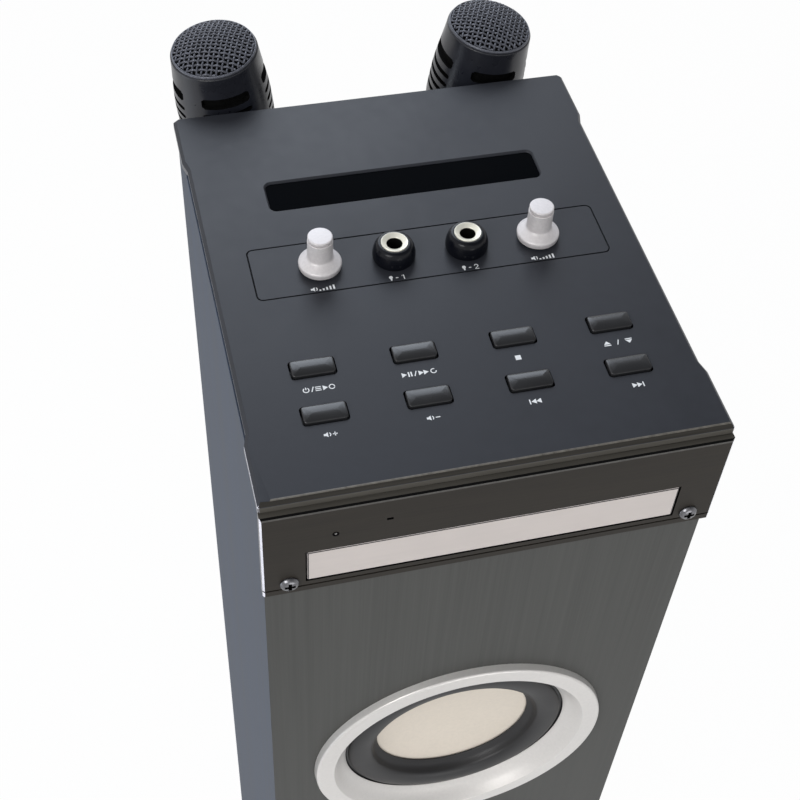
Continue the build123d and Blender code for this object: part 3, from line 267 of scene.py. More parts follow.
def place_mm(matrix):
    """A placing matrix whose shift is in millimetres, with the shift in metres."""
    out = matrix.copy()
    out.translation = matrix.translation * MM
    return out


def cut_with(obj, cutter_mesh):
    """The object with the cutter's solids taken out of it."""
    cutter = to_object("cutter", cutter_mesh, obj.data.materials[0])
    cut = obj.modifiers.new("cut", "BOOLEAN")
    cut.operation = "DIFFERENCE"
    cut.solver = "EXACT"
    cut.object = cutter
    apply_modifiers(obj)
    bpy.data.objects.remove(cutter)
    return obj


def paint_faces(mesh, material, test):
    """A second material on the faces whose centre, in mm, passes the test."""
    mesh.materials.append(material)
    for polygon in mesh.polygons:
        polygon.material_index = 1 if test(polygon.center / MM) else 0


def rounded(points, radius=0.3, steps=4):
    """The closed outline with each corner turned into a short curve. A third value is its own radius."""
    out, count = [], len(points)
    for i, point in enumerate(points):
        own = point[2] if len(point) > 2 else radius
        here = Vector(point[:2])
        if own <= 0:
            out.append(tuple(here))
            continue
        back, ahead = Vector(points[i - 1][:2]) - here, Vector(points[(i + 1) % count][:2]) - here
        reach = min(own, back.length * 0.45, ahead.length * 0.45)
        a, b = here + back.normalized() * reach, here + ahead.normalized() * reach
        for k in range(steps + 1):
            t = k / steps
            out.append(tuple(a * (1 - t) ** 2 + here * 2 * t * (1 - t) + b * t * t))
    return out


def lathe_into(bm, profile, centre, axis="Z", segments=96):
    """A closed outline of (radius, height) turned about Z or Y through the centre."""
    rings = []
    for s in range(segments):
        angle = 2 * math.pi * s / segments
        c, n = math.cos(angle), math.sin(angle)
        ring = []
        for r, h in profile:
            at = (r * c, r * n, h) if axis == "Z" else (r * c, h, r * n)
            ring.append(bm.verts.new([a + b for a, b in zip(at, centre)]))
        rings.append(ring)
    count = len(profile)
    for s in range(segments):
        one, two = rings[s], rings[(s + 1) % segments]
        for i in range(count):
            j = (i + 1) % count
            if profile[i][0] < 1e-6 and profile[j][0] < 1e-6:
                continue
            bm.faces.new((one[i], one[j], two[j], two[i]))
    bmesh.ops.remove_doubles(bm, verts=bm.verts, dist=1e-4)


def lathe(name, profile, centre, material, axis="Z", segments=96, smooth_angle=38.0):
    """One turned piece."""
    bm = bmesh.new()
    lathe_into(bm, profile, centre, axis, segments)
    return to_object(name, bm, material, smooth_angle)


def rounded_rect(width, depth, corner, steps=7):
    """Points round a rectangle with rounded corners, 4 * (steps + 1) of them."""
    corner = min(corner, width / 2 - 1e-3, depth / 2 - 1e-3)
    points = []
    for k, (sx, sy) in enumerate(((1, 1), (-1, 1), (-1, -1), (1, -1))):
        for i in range(steps + 1):
            angle = math.pi / 2 * (k + i / steps)
            points.append((sx * (width / 2 - corner) + corner * math.cos(angle),
                           sy * (depth / 2 - corner) + corner * math.sin(angle)))
    return points


def loft_into(bm, rings):
    """Rings of as many points each, joined in order and closed at both ends."""
    made = [[bm.verts.new(p) for p in ring] for ring in rings]
    for one, two in zip(made, made[1:]):
        for i in range(len(one)):
            j = (i + 1) % len(one)
            bm.faces.new((one[i], one[j], two[j], two[i]))
    bm.faces.new(made[0][::-1])
    bm.faces.new(made[-1])


def tube_into(bm, points, radius, sides):
    """A round wire along the points."""
    rings = []
    for i, point in enumerate(points):
        ahead = (points[min(i + 1, len(points) - 1)] - points[max(i - 1, 0)]).normalized()
        across = ahead.cross(Vector((0, 0, 1)))
        across = across.normalized() if across.length > 1e-6 else Vector((1, 0, 0))
        up = across.cross(ahead)
        rings.append([point + (across * math.cos(a) + up * math.sin(a)) * radius
                      for a in (2 * math.pi * k / sides for k in range(sides))])
    loft_into(bm, rings)


def box_into(bm, low, high):
    """A box between two corners."""
    made = bmesh.ops.create_cube(bm, size=1.0)["verts"]
    centre = [(a + b) / 2 for a, b in zip(low, high)]
    bmesh.ops.scale(bm, vec=[b - a for a, b in zip(low, high)], verts=made)
    bmesh.ops.translate(bm, vec=centre, verts=made)


def ribbon_into(bm, points, width, low, high):
    """A flat printed stroke along (x, y) points."""
    rings = []
    for i, (x, y) in enumerate(points):
        before, after = points[max(i - 1, 0)], points[min(i + 1, len(points) - 1)]
        ahead = (Vector(after) - Vector(before)).normalized() * width / 2
        a, b = (x - ahead.y, y + ahead.x), (x + ahead.y, y - ahead.x)
        rings.append([(*a, low), (*b, low), (*b, high), (*a, high)])
    loft_into(bm, rings)


def patch_into(bm, points, low, high):
    """A flat printed patch with the outline of (x, y) points."""
    loft_into(bm, [[(*p, low) for p in points], [(*p, high) for p in points]])


def stands_for(obj, body, *replaced, slot=None):
    """Ties a piece to its body and hides the CAD nodes that it replaces. slot, its material slot, is not
    used.
    """
    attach(obj, body)
    if replaced:
        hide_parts(*replaced)
    return obj


def plane_off(bm, point, normal):
    """The mesh without what lies beyond the plane, closed again with one flat face."""
    bmesh.ops.bisect_plane(bm, geom=bm.verts[:] + bm.edges[:] + bm.faces[:], dist=1e-7, clear_outer=True,
                           plane_co=Vector(point) * MM, plane_no=Vector(normal).normalized())
    bmesh.ops.remove_doubles(bm, verts=bm.verts, dist=2e-6)
    bmesh.ops.holes_fill(bm, edges=[e for e in bm.edges if e.is_boundary], sides=0)
    bmesh.ops.recalc_face_normals(bm, faces=bm.faces)


CREASE_WIDTH = 0.45
SHARP_ANGLE = 28.0


def softened(node, body, width, edge=None, edge_where=None, paint=(), creases=None, planed=None):
    """A copy of a CAD node with its sharp edges rounded over, which replaces the node.

    Each row of paint is a material and a test of a face's centre (mm) and normal. The roundings take
    the edge material where edge_where, a test of their centre, holds. creases picks the shallow edges,
    by their middle and direction, that are rounded too, and planed is a plane beyond which the solid is
    cut away."""
    source = nodes[node]
    slot = RECORD_SLOTS[node]
    mesh = bpy.data.meshes.new(node + "_soft")
    for material in (MATERIALS[slot], edge or MATERIALS[slot], *(material for material, _ in paint)):
        mesh.materials.append(material)
    bm = bmesh.new()
    bm.from_mesh(source.data)
    bmesh.ops.remove_doubles(bm, verts=bm.verts, dist=2e-6)
    bmesh.ops.dissolve_limit(bm, angle_limit=math.radians(1.0), verts=bm.verts, edges=bm.edges)
    if planed:
        plane_off(bm, *planed)
    bm.normal_update()
    if creases:
        picked = [e for e in bm.edges if creases((e.verts[0].co + e.verts[1].co) / 2 / MM,
                                                 (e.verts[0].co - e.verts[1].co) / MM)]
        bmesh.ops.bevel(bm, geom=picked, offset=CREASE_WIDTH * MM, segments=2, affect="EDGES", profile=0.5,
                        clamp_overlap=True)
        bm.normal_update()
    for face in bm.faces:
        face.material_index = 0
        centre = face.calc_center_median() / MM
        for index, (_, test) in enumerate(paint):
            if test(centre, face.normal):
                face.material_index = 2 + index
    bm.to_mesh(mesh)
    bm.free()
    obj = bpy.data.objects.new(node + "_soft", mesh)
    bpy.context.scene.collection.objects.link(obj)
    bevel = obj.modifiers.new("round", "BEVEL")
    bevel.width = width * MM
    bevel.segments = 2
    bevel.limit_method = "ANGLE"
    bevel.angle_limit = math.radians(SHARP_ANGLE)
    bevel.material = 1 if edge else -1
    apply_modifiers(obj)
    if edge_where:
        for polygon in mesh.polygons:
            if polygon.material_index == 1 and not edge_where(polygon.center / MM):
                polygon.material_index = 0
    shade(obj, 40.0)
    level = obj.modifiers.new("level", "WEIGHTED_NORMAL")
    level.mode = "FACE_AREA"
    level.weight = 100
    level.keep_sharp = True
    apply_modifiers(obj)
    return stands_for(obj, body, node)


# ---------------------------------------------------------------- camera

# Above the deck, in front and to the left of it. The rows are its right, its up and its back.
camera_data = bpy.data.cameras.new("camera")
camera_data.lens = 64.25
camera_data.sensor_width = 36.0
camera_data.clip_start = 0.01
camera_data.clip_end = 60.0
camera = bpy.data.objects.new("camera", camera_data)
bpy.context.scene.collection.objects.link(camera)
camera_axes = Matrix(((0.97090, -0.23546, 0.04375), (0.15373, 0.75284, 0.64000),
                      (-0.18363, -0.61465, 0.76713))).transposed().to_4x4()
camera.matrix_world = Matrix.Translation((-0.13566, -0.42076, 1.43455)) @ camera_axes
bpy.context.scene.camera = camera


# ---------------------------------------------------------------- deck controls

BUTTON_NAMES = (("power", "play", "stop", "open"), ("volume_up", "volume_down", "previous", "next"))
BUTTONS = [(name, CONTROL_X + (i - 1.5) * BUTTON_PITCH, y)
           for names, y in zip(BUTTON_NAMES, BUTTON_ROWS) for i, name in enumerate(names)]


def make_button(name, x, y):
    """A glossy crowned cap with a rolled edge, on its flange and stem."""
    width, depth, corner, rise, crown = 17.9, 8.6, 1.4, 1.8, 14.0

    def crown_z(v):
        """The height of the cap's arched top at v from its middle line."""
        return DECK + rise - (crown - math.sqrt(crown * crown - v * v))

    rings = []
    for w, d, c, z in ((4.4, 4.4, 2.2, -7.6), (4.4, 4.4, 2.2, -4.2),
                       (20.9, 11.6, 2.0, -4.2), (20.9, 11.6, 2.0, -2.8),
                       (width, depth, corner, -2.8), (width, depth, corner, 0.35)):
        rings.append([(x + u, y + v, DECK + z) for u, v in rounded_rect(w, d, c)])
    for inset, drop in ((0.0, 0.50), (0.05, 0.30), (0.17, 0.16), (0.36, 0.07), (0.60, 0.03), (1.0, 0.0),
                        (1.8, 0.0), (2.7, 0.0), (3.6, 0.0), (4.2, 0.0)):
        ring = rounded_rect(width - 2 * inset, depth - 2 * inset, max(corner - inset, 0.25))
        rings.append([(x + u, y + v, crown_z(v) - drop) for u, v in ring])
    bm = bmesh.new()
    loft_into(bm, rings)
    obj = to_object(f"{name}_cap", bm, MATERIALS["button_black"], 50.0)
    return stands_for(obj, f"{name}_button", f"{name}_button")


for button_name, button_x, button_y in BUTTONS:
    make_button(button_name, button_x, button_y)


def make_knob(name, x):
    """A turned knob: rimmed skirt, waist, post and a cap above a cut line."""
    profile = [(3.0, 0.6), (8.5, 0.6, 0.2), (9.1, 1.1, 0.3), (9.4, 3.0, 0.6), (9.3, 3.7, 0.3),
               (8.8, 4.2, 0.4), (6.0, 6.1, 0.8), (5.5, 6.7, 0.5), (5.5, 15.9, 0.2), (5.35, 16.1, 0.08),
               (4.5, 16.15, 0.04), (4.5, 16.85, 0.04), (5.35, 16.9, 0.1), (5.35, 18.0, 0.2), (5.0, 18.3, 0.2),
               (0, 18.3, 0), (0, 7.0, 0), (3.0, 7.0, 0)]
    bm = bmesh.new()
    lathe_into(bm, rounded(profile), (x, CONTROL_Y, DECK))
    lathe_into(bm, [(0, -9.8), (3.0, -9.8), (3.0, 7.0), (0, 7.0)], (x, CONTROL_Y, DECK), segments=32)
    return stands_for(to_object(name + "_turned", bm, MATERIALS["knob_silver"], 45.0), name, name)


make_knob("mic_volume_knob", CONTROL_X - KNOB_X)
make_knob("mic_echo_knob", CONTROL_X + KNOB_X)


def make_jacks():
    """The black collars and plated ferrules, with a black tube in each bore that stands for the shade inside
    it: painted shade.
    """
    collar = [(5.92, 0), (8.9, 0, 0.2), (9.4, 1.3, 0.6), (9.4, 3.8, 1.0), (8.8, 6.3, 1.0), (7.9, 8.0, 0.6),
              (6.9, 8.6, 0.4), (5.92, 8.6, 0.1)]
    socket = [(3.25, -22, 0), (3.25, 7.4, 0.1), (3.55, 8.2, 0.2), (5.35, 9.1, 0.2), (5.7, 9.2, 0.1),
              (5.9, 9.0, 0.2), (5.9, -2.5, 0), (8.0, -2.5, 0.2), (8.0, -24, 0.4), (0, -24, 0), (0, -22, 0)]
    bore_shade = [(3.27, -21.9), (3.27, 7.35), (3.45, 7.9), (3.35, 8.0), (3.1, 7.5), (3.1, -21.9)]
    collars, sockets, bore_shades = bmesh.new(), bmesh.new(), bmesh.new()
    for x in (CONTROL_X - JACK_X, CONTROL_X + JACK_X):
        lathe_into(collars, rounded(collar), (x, CONTROL_Y, DECK))
        lathe_into(sockets, rounded(socket), (x, CONTROL_Y, DECK), segments=64)
        lathe_into(bore_shades, bore_shade, (x, CONTROL_Y, DECK), segments=48)
    obj = to_object("jack_collars", collars, MATERIALS["jack_black"], 50.0)
    stands_for(obj, "cabinet", "mic_jack_collars")
    obj = to_object("jack_ferrules", sockets, MATERIALS["jack_metal"], 45.0)
    stands_for(obj, "cabinet", "mic_jack_sockets")
    stands_for(to_object("jack_bore_shades", bore_shades, SHADOW, 50.0), "cabinet", slot="jack_black")


make_jacks()


# ---------------------------------------------------------------- printed marks

def arc(cx, cy, r, start, end, steps=18):
    """Points along a circle from one angle to another, in degrees."""
    return [(cx + r * math.cos(math.radians(start + (end - start) * i / steps)),
             cy + r * math.sin(math.radians(start + (end - start) * i / steps))) for i in range(steps + 1)]


def make_marks():
    """Plain function symbols and figures printed on the deck, about 2.6 mm tall."""
    bm = bmesh.new()
    low, high, pen = DECK - 0.05, DECK + 0.03, 0.42
    upper_row, lower_row, knob_row = -60.3, -84.0, -6.2

    def stroke(points):
        ribbon_into(bm, points, pen, low, high)

    def patch(points):
        patch_into(bm, points, low, high)

    def at(x, y, points):
        return [(x + u, y + v) for u, v in points]

    def triangle(x, y, way=1):
        patch(at(x, y, [(-0.9 * way, -1.25), (1.2 * way, 0), (-0.9 * way, 1.25)][::way]))

    def slash(x, y):
        stroke(at(x, y, [(-0.5, -1.3), (0.5, 1.3)]))

    def bar(x, y, width=0.6, height=2.5):
        w, h = width / 2, height / 2
        patch(at(x, y, [(-w, -h), (w, -h), (w, h), (-w, h)]))

    def speaker(x, y):
        patch(at(x, y, [(-1.1, -0.5), (-0.3, -0.5), (0.6, -1.25), (0.6, 1.25), (-0.3, 0.5), (-1.1, 0.5)]))
        stroke(arc(x + 0.5, y, 1.1, -50, 50, 8))

    y = upper_row
    stroke(arc(-67.1, y, 1.15, 125, 415))                                       # power / list, play, disc
    stroke(at(-67.1, y, [(0, 0.15), (0, 1.45)]))
    slash(-64.5, y)
    for k in range(3):
        bar(-62.2, y + 0.9 - 0.9 * k, 2.4, pen)
    triangle(-59.4, y)
    stroke(arc(-56.6, y, 1.1, 0, 345))
    triangle(-27.0, y)                                                          # play, pause / scan, repeat
    bar(-25.0, y)
    bar(-23.9, y)
    slash(-22.2, y)
    triangle(-20.0, y)
    triangle(-17.9, y)
    stroke(arc(-14.7, y, 1.1, 60, 360))
    bar(21.1, y, 2.4, 2.4)                                                      # stop
    for x, way in ((59.6, 1), (69.2, -1)):                                      # open / close
        patch(at(x, y, [(-1.5, -0.45 * way), (1.5, -0.45 * way), (0, 1.3 * way)][::way]))
        bar(x, y - 1.05 * way, 3.0, 0.5)
    slash(64.4, y)
    y = lower_row
    for x, plus in ((-63.7, True), (-22.4, False)):                             # louder, softer
        speaker(x, y)
        bar(x + 3.4, y, 1.9, pen)
        if plus:
            bar(x + 3.4, y, pen, 1.9)
    bar(19.0, y, 0.5)                                                           # previous, next
    triangle(20.7, y, -1)
    triangle(22.8, y, -1)
    triangle(63.3, y)
    triangle(65.4, y)
    bar(67.1, y, 0.5)
    y = knob_row
    for x, figure in ((-16.4, [(-0.75, 0.65), (0.15, 1.3), (0.15, -1.3)]),
                      (16.0, arc(0, 0.55, 0.75, 170, -35, 8) + [(-0.8, -1.25), (0.9, -1.25)])):
        patch(arc(x - 3.0, y + 0.6, 0.85, 0, 345, 14))                          # a microphone and its figure
        patch(at(x - 3.0, y, [(-0.5, -0.1), (-0.25, -1.3), (0.25, -1.3), (0.5, -0.1)]))
        bar(x - 0.4, y, 1.1, pen)
        stroke(at(x + 2.5, y, figure))
    for x in (CONTROL_X - KNOB_X, CONTROL_X + KNOB_X):                          # a level
        speaker(x - 5.4, y)
        for k in range(5):
            height = 0.7 + 0.45 * k
            bar(x - 2.6 + 1.5 * k, y - 1.25 + height / 2, 0.8, height)
    stands_for(to_object("printed_marks", bm, INK, 30.0), "cabinet", slot="knob_silver")


make_marks()


# ---------------------------------------------------------------- screws

def make_screws():
    """Pan heads with a cross recess: two in the bezel and four under the base plate."""
    facing_front, facing_down = Matrix.Rotation(math.pi / 2, 4, "X"), Matrix.Rotation(math.pi, 4, "X")
    rows = [(Matrix.Translation((side * BEZEL_SCREW_X, FRONT, BEZEL_SCREW_Z)) @ facing_front,
             1.75, 4.0, 2.2, 12.0) for side in (-1, 1)]
    rows += [(Matrix.Translation((i * BASE_SCREW_X, j * BASE_SCREW_Y, BASE_SCREW_Z)) @ facing_down,
              2.2, 4.6, 2.4, 26.0) for i in (-1, 1) for j in (-1, 1)]
    made = bmesh.new()
    for place, radius, head, rise, length in rows:
        profile = [(0, rise, 0), (head * 0.5, rise, 0.3), (head * 0.8, rise * 0.82, 0.6),
                   (head, rise * 0.3, 0.4), (head, 0, 0.1), (radius, 0, 0), (radius, 1.5 - length, 0),
                   (radius * 0.4, -length, 0), (0, -length, 0)]
        bm, cross = bmesh.new(), bmesh.new()
        lathe_into(bm, rounded(profile), (0, 0, 0), segments=48)
        arm, half = head * 0.56, head * 0.18
        outline = [(half, arm), (-half, arm), (-half, half), (-arm, half), (-arm, -half), (-half, -half),
                   (-half, -arm), (half, -arm), (half, -half), (arm, -half), (arm, half), (half, half)]
        patch_into(cross, outline, rise * 0.3, rise + 1)
        obj = cut_with(to_object("screw", bm, MATERIALS["screw_steel"]), cross)
        # The cross recess is painted black: painted shade.
        paint_faces(obj.data, SHADOW, lambda centre: (centre.xy.length < head * 0.6
                                                      and 0.3 * rise < centre.z < rise * 0.9))
        obj.data.transform(place_mm(place))
        made.from_mesh(obj.data)
        bpy.data.objects.remove(obj)
    mesh = bpy.data.meshes.new("cross_screws")
    made.to_mesh(mesh)
    made.free()
    obj = bpy.data.objects.new("cross_screws", mesh)
    bpy.context.scene.collection.objects.link(obj)
    mesh.materials.append(MATERIALS["screw_steel"])
    mesh.materials.append(SHADOW)
    shade(obj, 35.0)
    stands_for(obj, "cabinet", "screws")


make_screws()


# ---------------------------------------------------------------- drivers

DRIVER_Z = {"upper": DECK - 234.5, "lower": DECK - 404.5}
ROLL_RADIUS = 49.6


def half_roll(reach, y, bulge):
    """The surround's half roll as (radius, y), from its outer foot to its inner one."""
    angles = [math.pi * i / 12 for i in range(13)]
    return [(ROLL_RADIUS + reach * math.cos(a), y - bulge * math.sin(a), 0) for a in angles]


def make_driver(name, z):
    """The driver's surround and cone. Returns the outline and centre of its trim ring."""
    ring = [(74.5, -111.0, 0), (74.1, -114.4, 0.6), (73.3, -115.05, 0.5), (65.2, -115.05, 0.3),
            (61.2, -109.4, 4.0), (57.4, -105.6, 0.3), (57.7, -105.3, 0.1), (58.8, -105.3, 0.2),
            (64.0, -108.0, 0.5), (68.0, -110.2, 0.2), (68.0, -111.0, 0)]
    surround = [(57.0, -104.0, 0), (57.0, -105.0, 0.3), *half_roll(6.4, -105.0, 2.9),
                (42.4, -102.6, 1.2), (39.7, -100.0, 0.2), (39.8, -99.5, 0.1), (42.3, -99.5, 0.2),
                (43.9, -102.6, 0.8), *half_roll(5.2, -104.6, 1.9)[::-1]]
    cone = [(42.4, -99.2, 0.2), (42.4, -98.2, 0.2), (30, -95.2, 6), (12.3, -92.8, 1), (12.3, -50.0, 0),
            (11.7, -50.0, 0), (11.7, -92.8, 0.5), (0, -92.4, 0), (0, -94.2, 0), (12, -94.5, 8),
            (24, -96.0, 8), (33, -97.6, 6), (39.0, -99.1, 0.5)]
    centre = (0, 0, z)
    obj = lathe(f"{name}_surround_roll", rounded(surround, 0.3, 3), centre, MATERIALS["surround_rubber"],
                "Y", 128, 50)
    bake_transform(obj)
    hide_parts(f"{name}_surround")
    obj = lathe(f"{name}_cone_dish", rounded(cone, 0.3, 5), centre, MATERIALS["cone_silver"], "Y", 128, 50)
    stands_for(obj, f"{name}_cone", f"{name}_cone")
    return rounded(ring, 0.3, 6), centre


rings = bmesh.new()
for driver_name, driver_z in DRIVER_Z.items():
    lathe_into(rings, *make_driver(driver_name, driver_z), axis="Y", segments=160)
stands_for(to_object("trim_rings", rings, MATERIALS["ring_silver"], 40.0), "cabinet", "speaker_trim_rings")


# ---------------------------------------------------------------- microphones

# A microphone's own z runs along it, up from its head's rim. The left one's side is -1.
MIC_X, MIC_Y, MIC_Z, MIC_SHIFT = 68.45, 142.0, DECK + 14.8, -2.75
MIC_TILT, MIC_LEAN = math.radians(6.75), math.radians(3.4)
MIC_SEATS = {-1: 2.3, 1: -2.3}                  # how far each is shifted along its own z
MIC_TURN = {-1: -20.0, 1: -24.0}                # how far each weave is turned, in degrees
VENT_ANGLE, VENT_DEEP = 31.0, 2.0               # half of a vent's sweep in degrees, and its depth
VENT_ROWS = [(-14.3, 5.6)] + [(-21.6 - 5.0 * i, 2.4) for i in range(4)]
SWITCH_DOWN = 96.0                              # the slide switch's middle below the rim


def mic_place(side):
    """The placing of a microphone that stands in its holder."""
    return (Matrix.Translation(((MIC_SHIFT + side * MIC_X) * MM, MIC_Y * MM, MIC_Z * MM))
            @ Matrix.Rotation(side * MIC_TILT, 4, "Y") @ Matrix.Rotation(MIC_LEAN, 4, "X")
            @ Matrix.Translation((0, 0, MIC_SEATS[side] * MM)))


def set_down(obj, place):
    """Moves a piece's mesh to its place."""
    obj.data.transform(place)
    obj.data.update()


def make_mic_body(name, side):
    """The shell with its vents, its handle, the switch's recess and the tail gland."""
    profile = [(0, -4, 0), (19.05, -4, 0), (19.05, -0.5, 0.2), (20.25, 0.0, 0.3), (21.05, -0.5, 0.4),
               (21.6, -7, 3), (22.85, -18, 4), (23.65, -27, 4), (23.65, -46, 4), (21.15, -54, 4),
               (17.5, -68, 4), (16.0, -74, 3), (12.0, -200, 1), (10.0, -204, 1), (5.0, -205, 0.5),
               (4.0, -215, 0.5), (0, -215, 0)]
    bm = bmesh.new()
    lathe_into(bm, rounded(profile, 0.3, 6), (0, 0, 0), segments=128)
    obj = to_object(f"{name}_mic_shell", bm, MATERIALS["mic_black"], 40.0)
    cutter_mesh = bmesh.new()
    for level, tall in VENT_ROWS:
        floor = head_radius(level) - VENT_DEEP
        for k in range(4):
            sections = []
            for i in range(-8, 9):
                angle = math.pi / 2 * k + math.radians(VENT_ANGLE) * i / 8
                half = tall / 2 * (0.6 if abs(i) == 8 else 1.0)
                sections.append([(r * math.cos(angle), r * math.sin(angle), level + v) for r, v in
                                 ((floor, -half), (26.0, -half), (26.0, half), (floor, half))])
            loft_into(cutter_mesh, sections)
    grip = grip_radius(SWITCH_DOWN)
    box_into(cutter_mesh, (-3.5, grip - 2.5, -SWITCH_DOWN - 7.5), (3.5, grip + 2.5, -SWITCH_DOWN + 7.5))
    cut_with(obj, cutter_mesh)
    # The vents' floors and walls are painted black: painted shade.
    paint_faces(obj.data, SHADOW, lambda centre: (-38.5 < centre.z < -11.0
                                                  and centre.xy.length < head_radius(centre.z) - 0.3))
    shade(obj, 40.0)
    set_down(obj, mic_place(side))
    stands_for(obj, f"{name}_mic", f"{name}_mic_body")


def head_radius(z):
    """The shell's radius at height z, from the head's rim down to where it starts to close in."""
    return 21.6 + 1.25 * (-7.0 - z) / 11.0 if z > -18.0 else min(23.65, 22.85 + 0.8 * (-18.0 - z) / 9.0)


def grip_radius(s):
    """The handle's radius at distance s below the head's rim."""
    return 16.0 - 4.0 * (s - 74.0) / 126.0


def make_mic_grille(name, side):
    """A woven-wire dome: each wire passes over and under the ones it crosses."""
    pitch, radius, wire, sway, reach = 2.35, 19.95, 0.50, 0.27, 19.3
    foot, rise = 0.8, 4.6
    turn = Matrix.Rotation(math.radians(MIC_TURN[side]), 3, "Z")
    bm = bmesh.new()
    for i in range(-8, 9):
        across = i * pitch
        half = math.sqrt(max(reach * reach - across * across, 0.0))
        steps = max(8, int(half / 0.35))
        for flip in (0, 1):
            points = []
            for k in range(-steps, steps + 1):
                along = half * k / steps
                share = min(1.0, (along * along + across * across) / (radius * radius))
                lift = sway * (-1) ** (i + flip) * math.cos(math.pi * along / pitch)
                z = foot + rise * (1 - share) + lift
                point = Vector((along, across, z)) if flip == 0 else Vector((across, along, z))
                points.append(turn @ point)
            tube_into(bm, points, wire, 8)
    obj = to_object(f"{name}_mic_weave", bm, MATERIALS["mic_mesh"], 60.0)
    set_down(obj, mic_place(side))
    stands_for(obj, f"{name}_mic", f"{name}_mic_grille")
    dome = [(19.3 * (1 - i / 10), 3.9 * (1 - (1 - i / 10) ** 2)) for i in range(11)]
    foam = lathe(f"{name}_mic_foam", dome + [(0, -3.9), (18.95, -3.9)], (0, 0, 0), FOAM, segments=64)
    set_down(foam, mic_place(side))
    stands_for(foam, f"{name}_mic", slot="mic_black")
    band = [(19.45, 0.0, 0), (19.6, 1.1, 0.2), (20.1, 1.2, 0.2), (20.45, 0.6, 0.2), (20.45, 0.0, 0)]
    ring = lathe(f"{name}_mic_rim", rounded(band, 0.2, 3), (0, 0, 0), MATERIALS["mic_mesh"], segments=96)
    set_down(ring, mic_place(side))
    stands_for(ring, f"{name}_mic", slot="mic_mesh")


for mic_name, mic_side in (("left", -1), ("right", 1)):
    make_mic_body(mic_name, mic_side)
    make_mic_grille(mic_name, mic_side)


# ---------------------------------------------------------------- panels

for panel, panel_edge in (("front_baffle", 0.3), ("left_side_panel", 0.3), ("right_side_panel", 0.3),
                          ("back_panel", 0.3), ("base_plate", 0.8), ("rear_io_panel", 0.3)):
    softened(panel, "cabinet", panel_edge)
# The door's sides and rounded edges are painted black for the shade in the gap round it.
softened("tray_door", "tray", 0.25, edge=MATERIALS["tray_black"],
         paint=((MATERIALS["tray_black"], lambda centre, normal: normal.y > -0.5),))


# Tests that pick a CAD node's edges, by their middle and direction, or its faces, by their centre and
# normal. Middles, directions and centres are in millimetres.

def on_side(centre, normal):
    return abs(normal.x) > 0.9 and abs(centre.x) > 90.0


def at_crease(middle, along):
    return abs(middle.y - CREASE_Y) < 0.05 and middle.z > DECK - 0.1 and abs(along.x) > 50.0


def on_crease(centre, normal):
    return abs(centre.y - CREASE_Y) < 0.6 and centre.z > DECK - 0.5 and -0.47 < normal.y < -0.03


def on_front_slope(centre, normal):
    return centre.y < CREASE_Y - 0.3 and -0.9 < normal.y < -0.47


def on_front_face(centre, normal):
    return centre.y < CREASE_Y - 0.3 and normal.y < -0.9


def at_bezel_crease(middle, along):
    return abs(middle.z - BEZEL_CREASE) < 0.05 and middle.y < FRONT + 0.1 and abs(along.x) > 50.0


def on_bezel_crease(centre, normal):
    return abs(centre.z - BEZEL_CREASE) < 0.8 and 0.02 < normal.z < 0.33 and abs(normal.x) < 0.3


def on_bezel_ledge(centre, normal):
    return normal.z > 0.9 and centre.z > DECK - 5.2


def on_bezel_slope(centre, normal):
    return centre.z > DECK - 6.6 and 0.33 < normal.z < 0.6


def in_bezel_openings(centre, normal):
    """The walls of the door's slot and of the two small openings."""
    slot = abs(centre.x) < 78.6 and DECK - 52.6 < centre.z < DECK - 31.8
    small = -68.0 < centre.x < -42.0 and DECK - 24.0 < centre.z < DECK - 17.0
    return (slot or small) and centre.y > -114.9 and abs(normal.y) < 0.4


def on_chamfer(centre, normal):
    """The bezel's upright corner bevels."""
    return centre.z < DECK - 5.0 and normal.y < -0.5 and abs(normal.x) > 0.5 and abs(centre.x) > 90.0


def on_ear_edge(centre):
    """The outer edge of the two front ears."""
    return abs(centre.x) > 95.3 and centre.y < -84.0 and centre.z > DECK - 3.0


def in_deck_openings(centre, normal):
    """The controls' openings, and the outline cut round the microphone field."""
    inside = abs(centre.x) < 88.0 and -100.0 < centre.y < 40.0 and centre.z > DECK - 4.6
    return inside and (abs(normal.z) < 0.3 or centre.z < DECK - 0.4)


# The deck: painted highlights on the crease and on the front ears' outer roundings, the brown front strip
# with a painted lighter copy on its upright face, and painted shade on its sides, in the openings and in the
# outline cut.
softened("top_panel", "cabinet", 0.2, creases=at_crease, edge=EDGE_HIGHLIGHT, edge_where=on_ear_edge,
         planed=((0, CREASE_Y, DECK), (0, -FRONT_DROP, CREASE_Y - DECK_FRONT)),
         paint=((CREASE_HIGHLIGHT, on_crease), (STRIP, on_front_slope), (STRIP_PAINTED_LIGHTER, on_front_face),
                (SIDE_SHADE, on_side), (SHADOW, in_deck_openings)))
# The bezel: a painted highlight along its top edge, the painted lighter strip on its ledge, painted shade on
# the slope below the ledge, on its sides and in its openings, and painted highlights on its corner bevels.
softened("front_bezel", "cabinet", 0.2, creases=at_bezel_crease,
         paint=((BEZEL_TOP_HIGHLIGHT, on_bezel_crease), (STRIP_PAINTED_LIGHTER, on_bezel_ledge), (SHADOW, on_bezel_slope),
                (EDGE_HIGHLIGHT, on_chamfer), (SIDE_SHADE, on_side), (SHADOW, in_bezel_openings)))
# The board's front, seen through the bezel's small openings, is painted black: painted shade.
softened("indicator_board", "cabinet", 0.05, paint=((SHADOW, lambda centre, normal: centre.y < -111.0),))


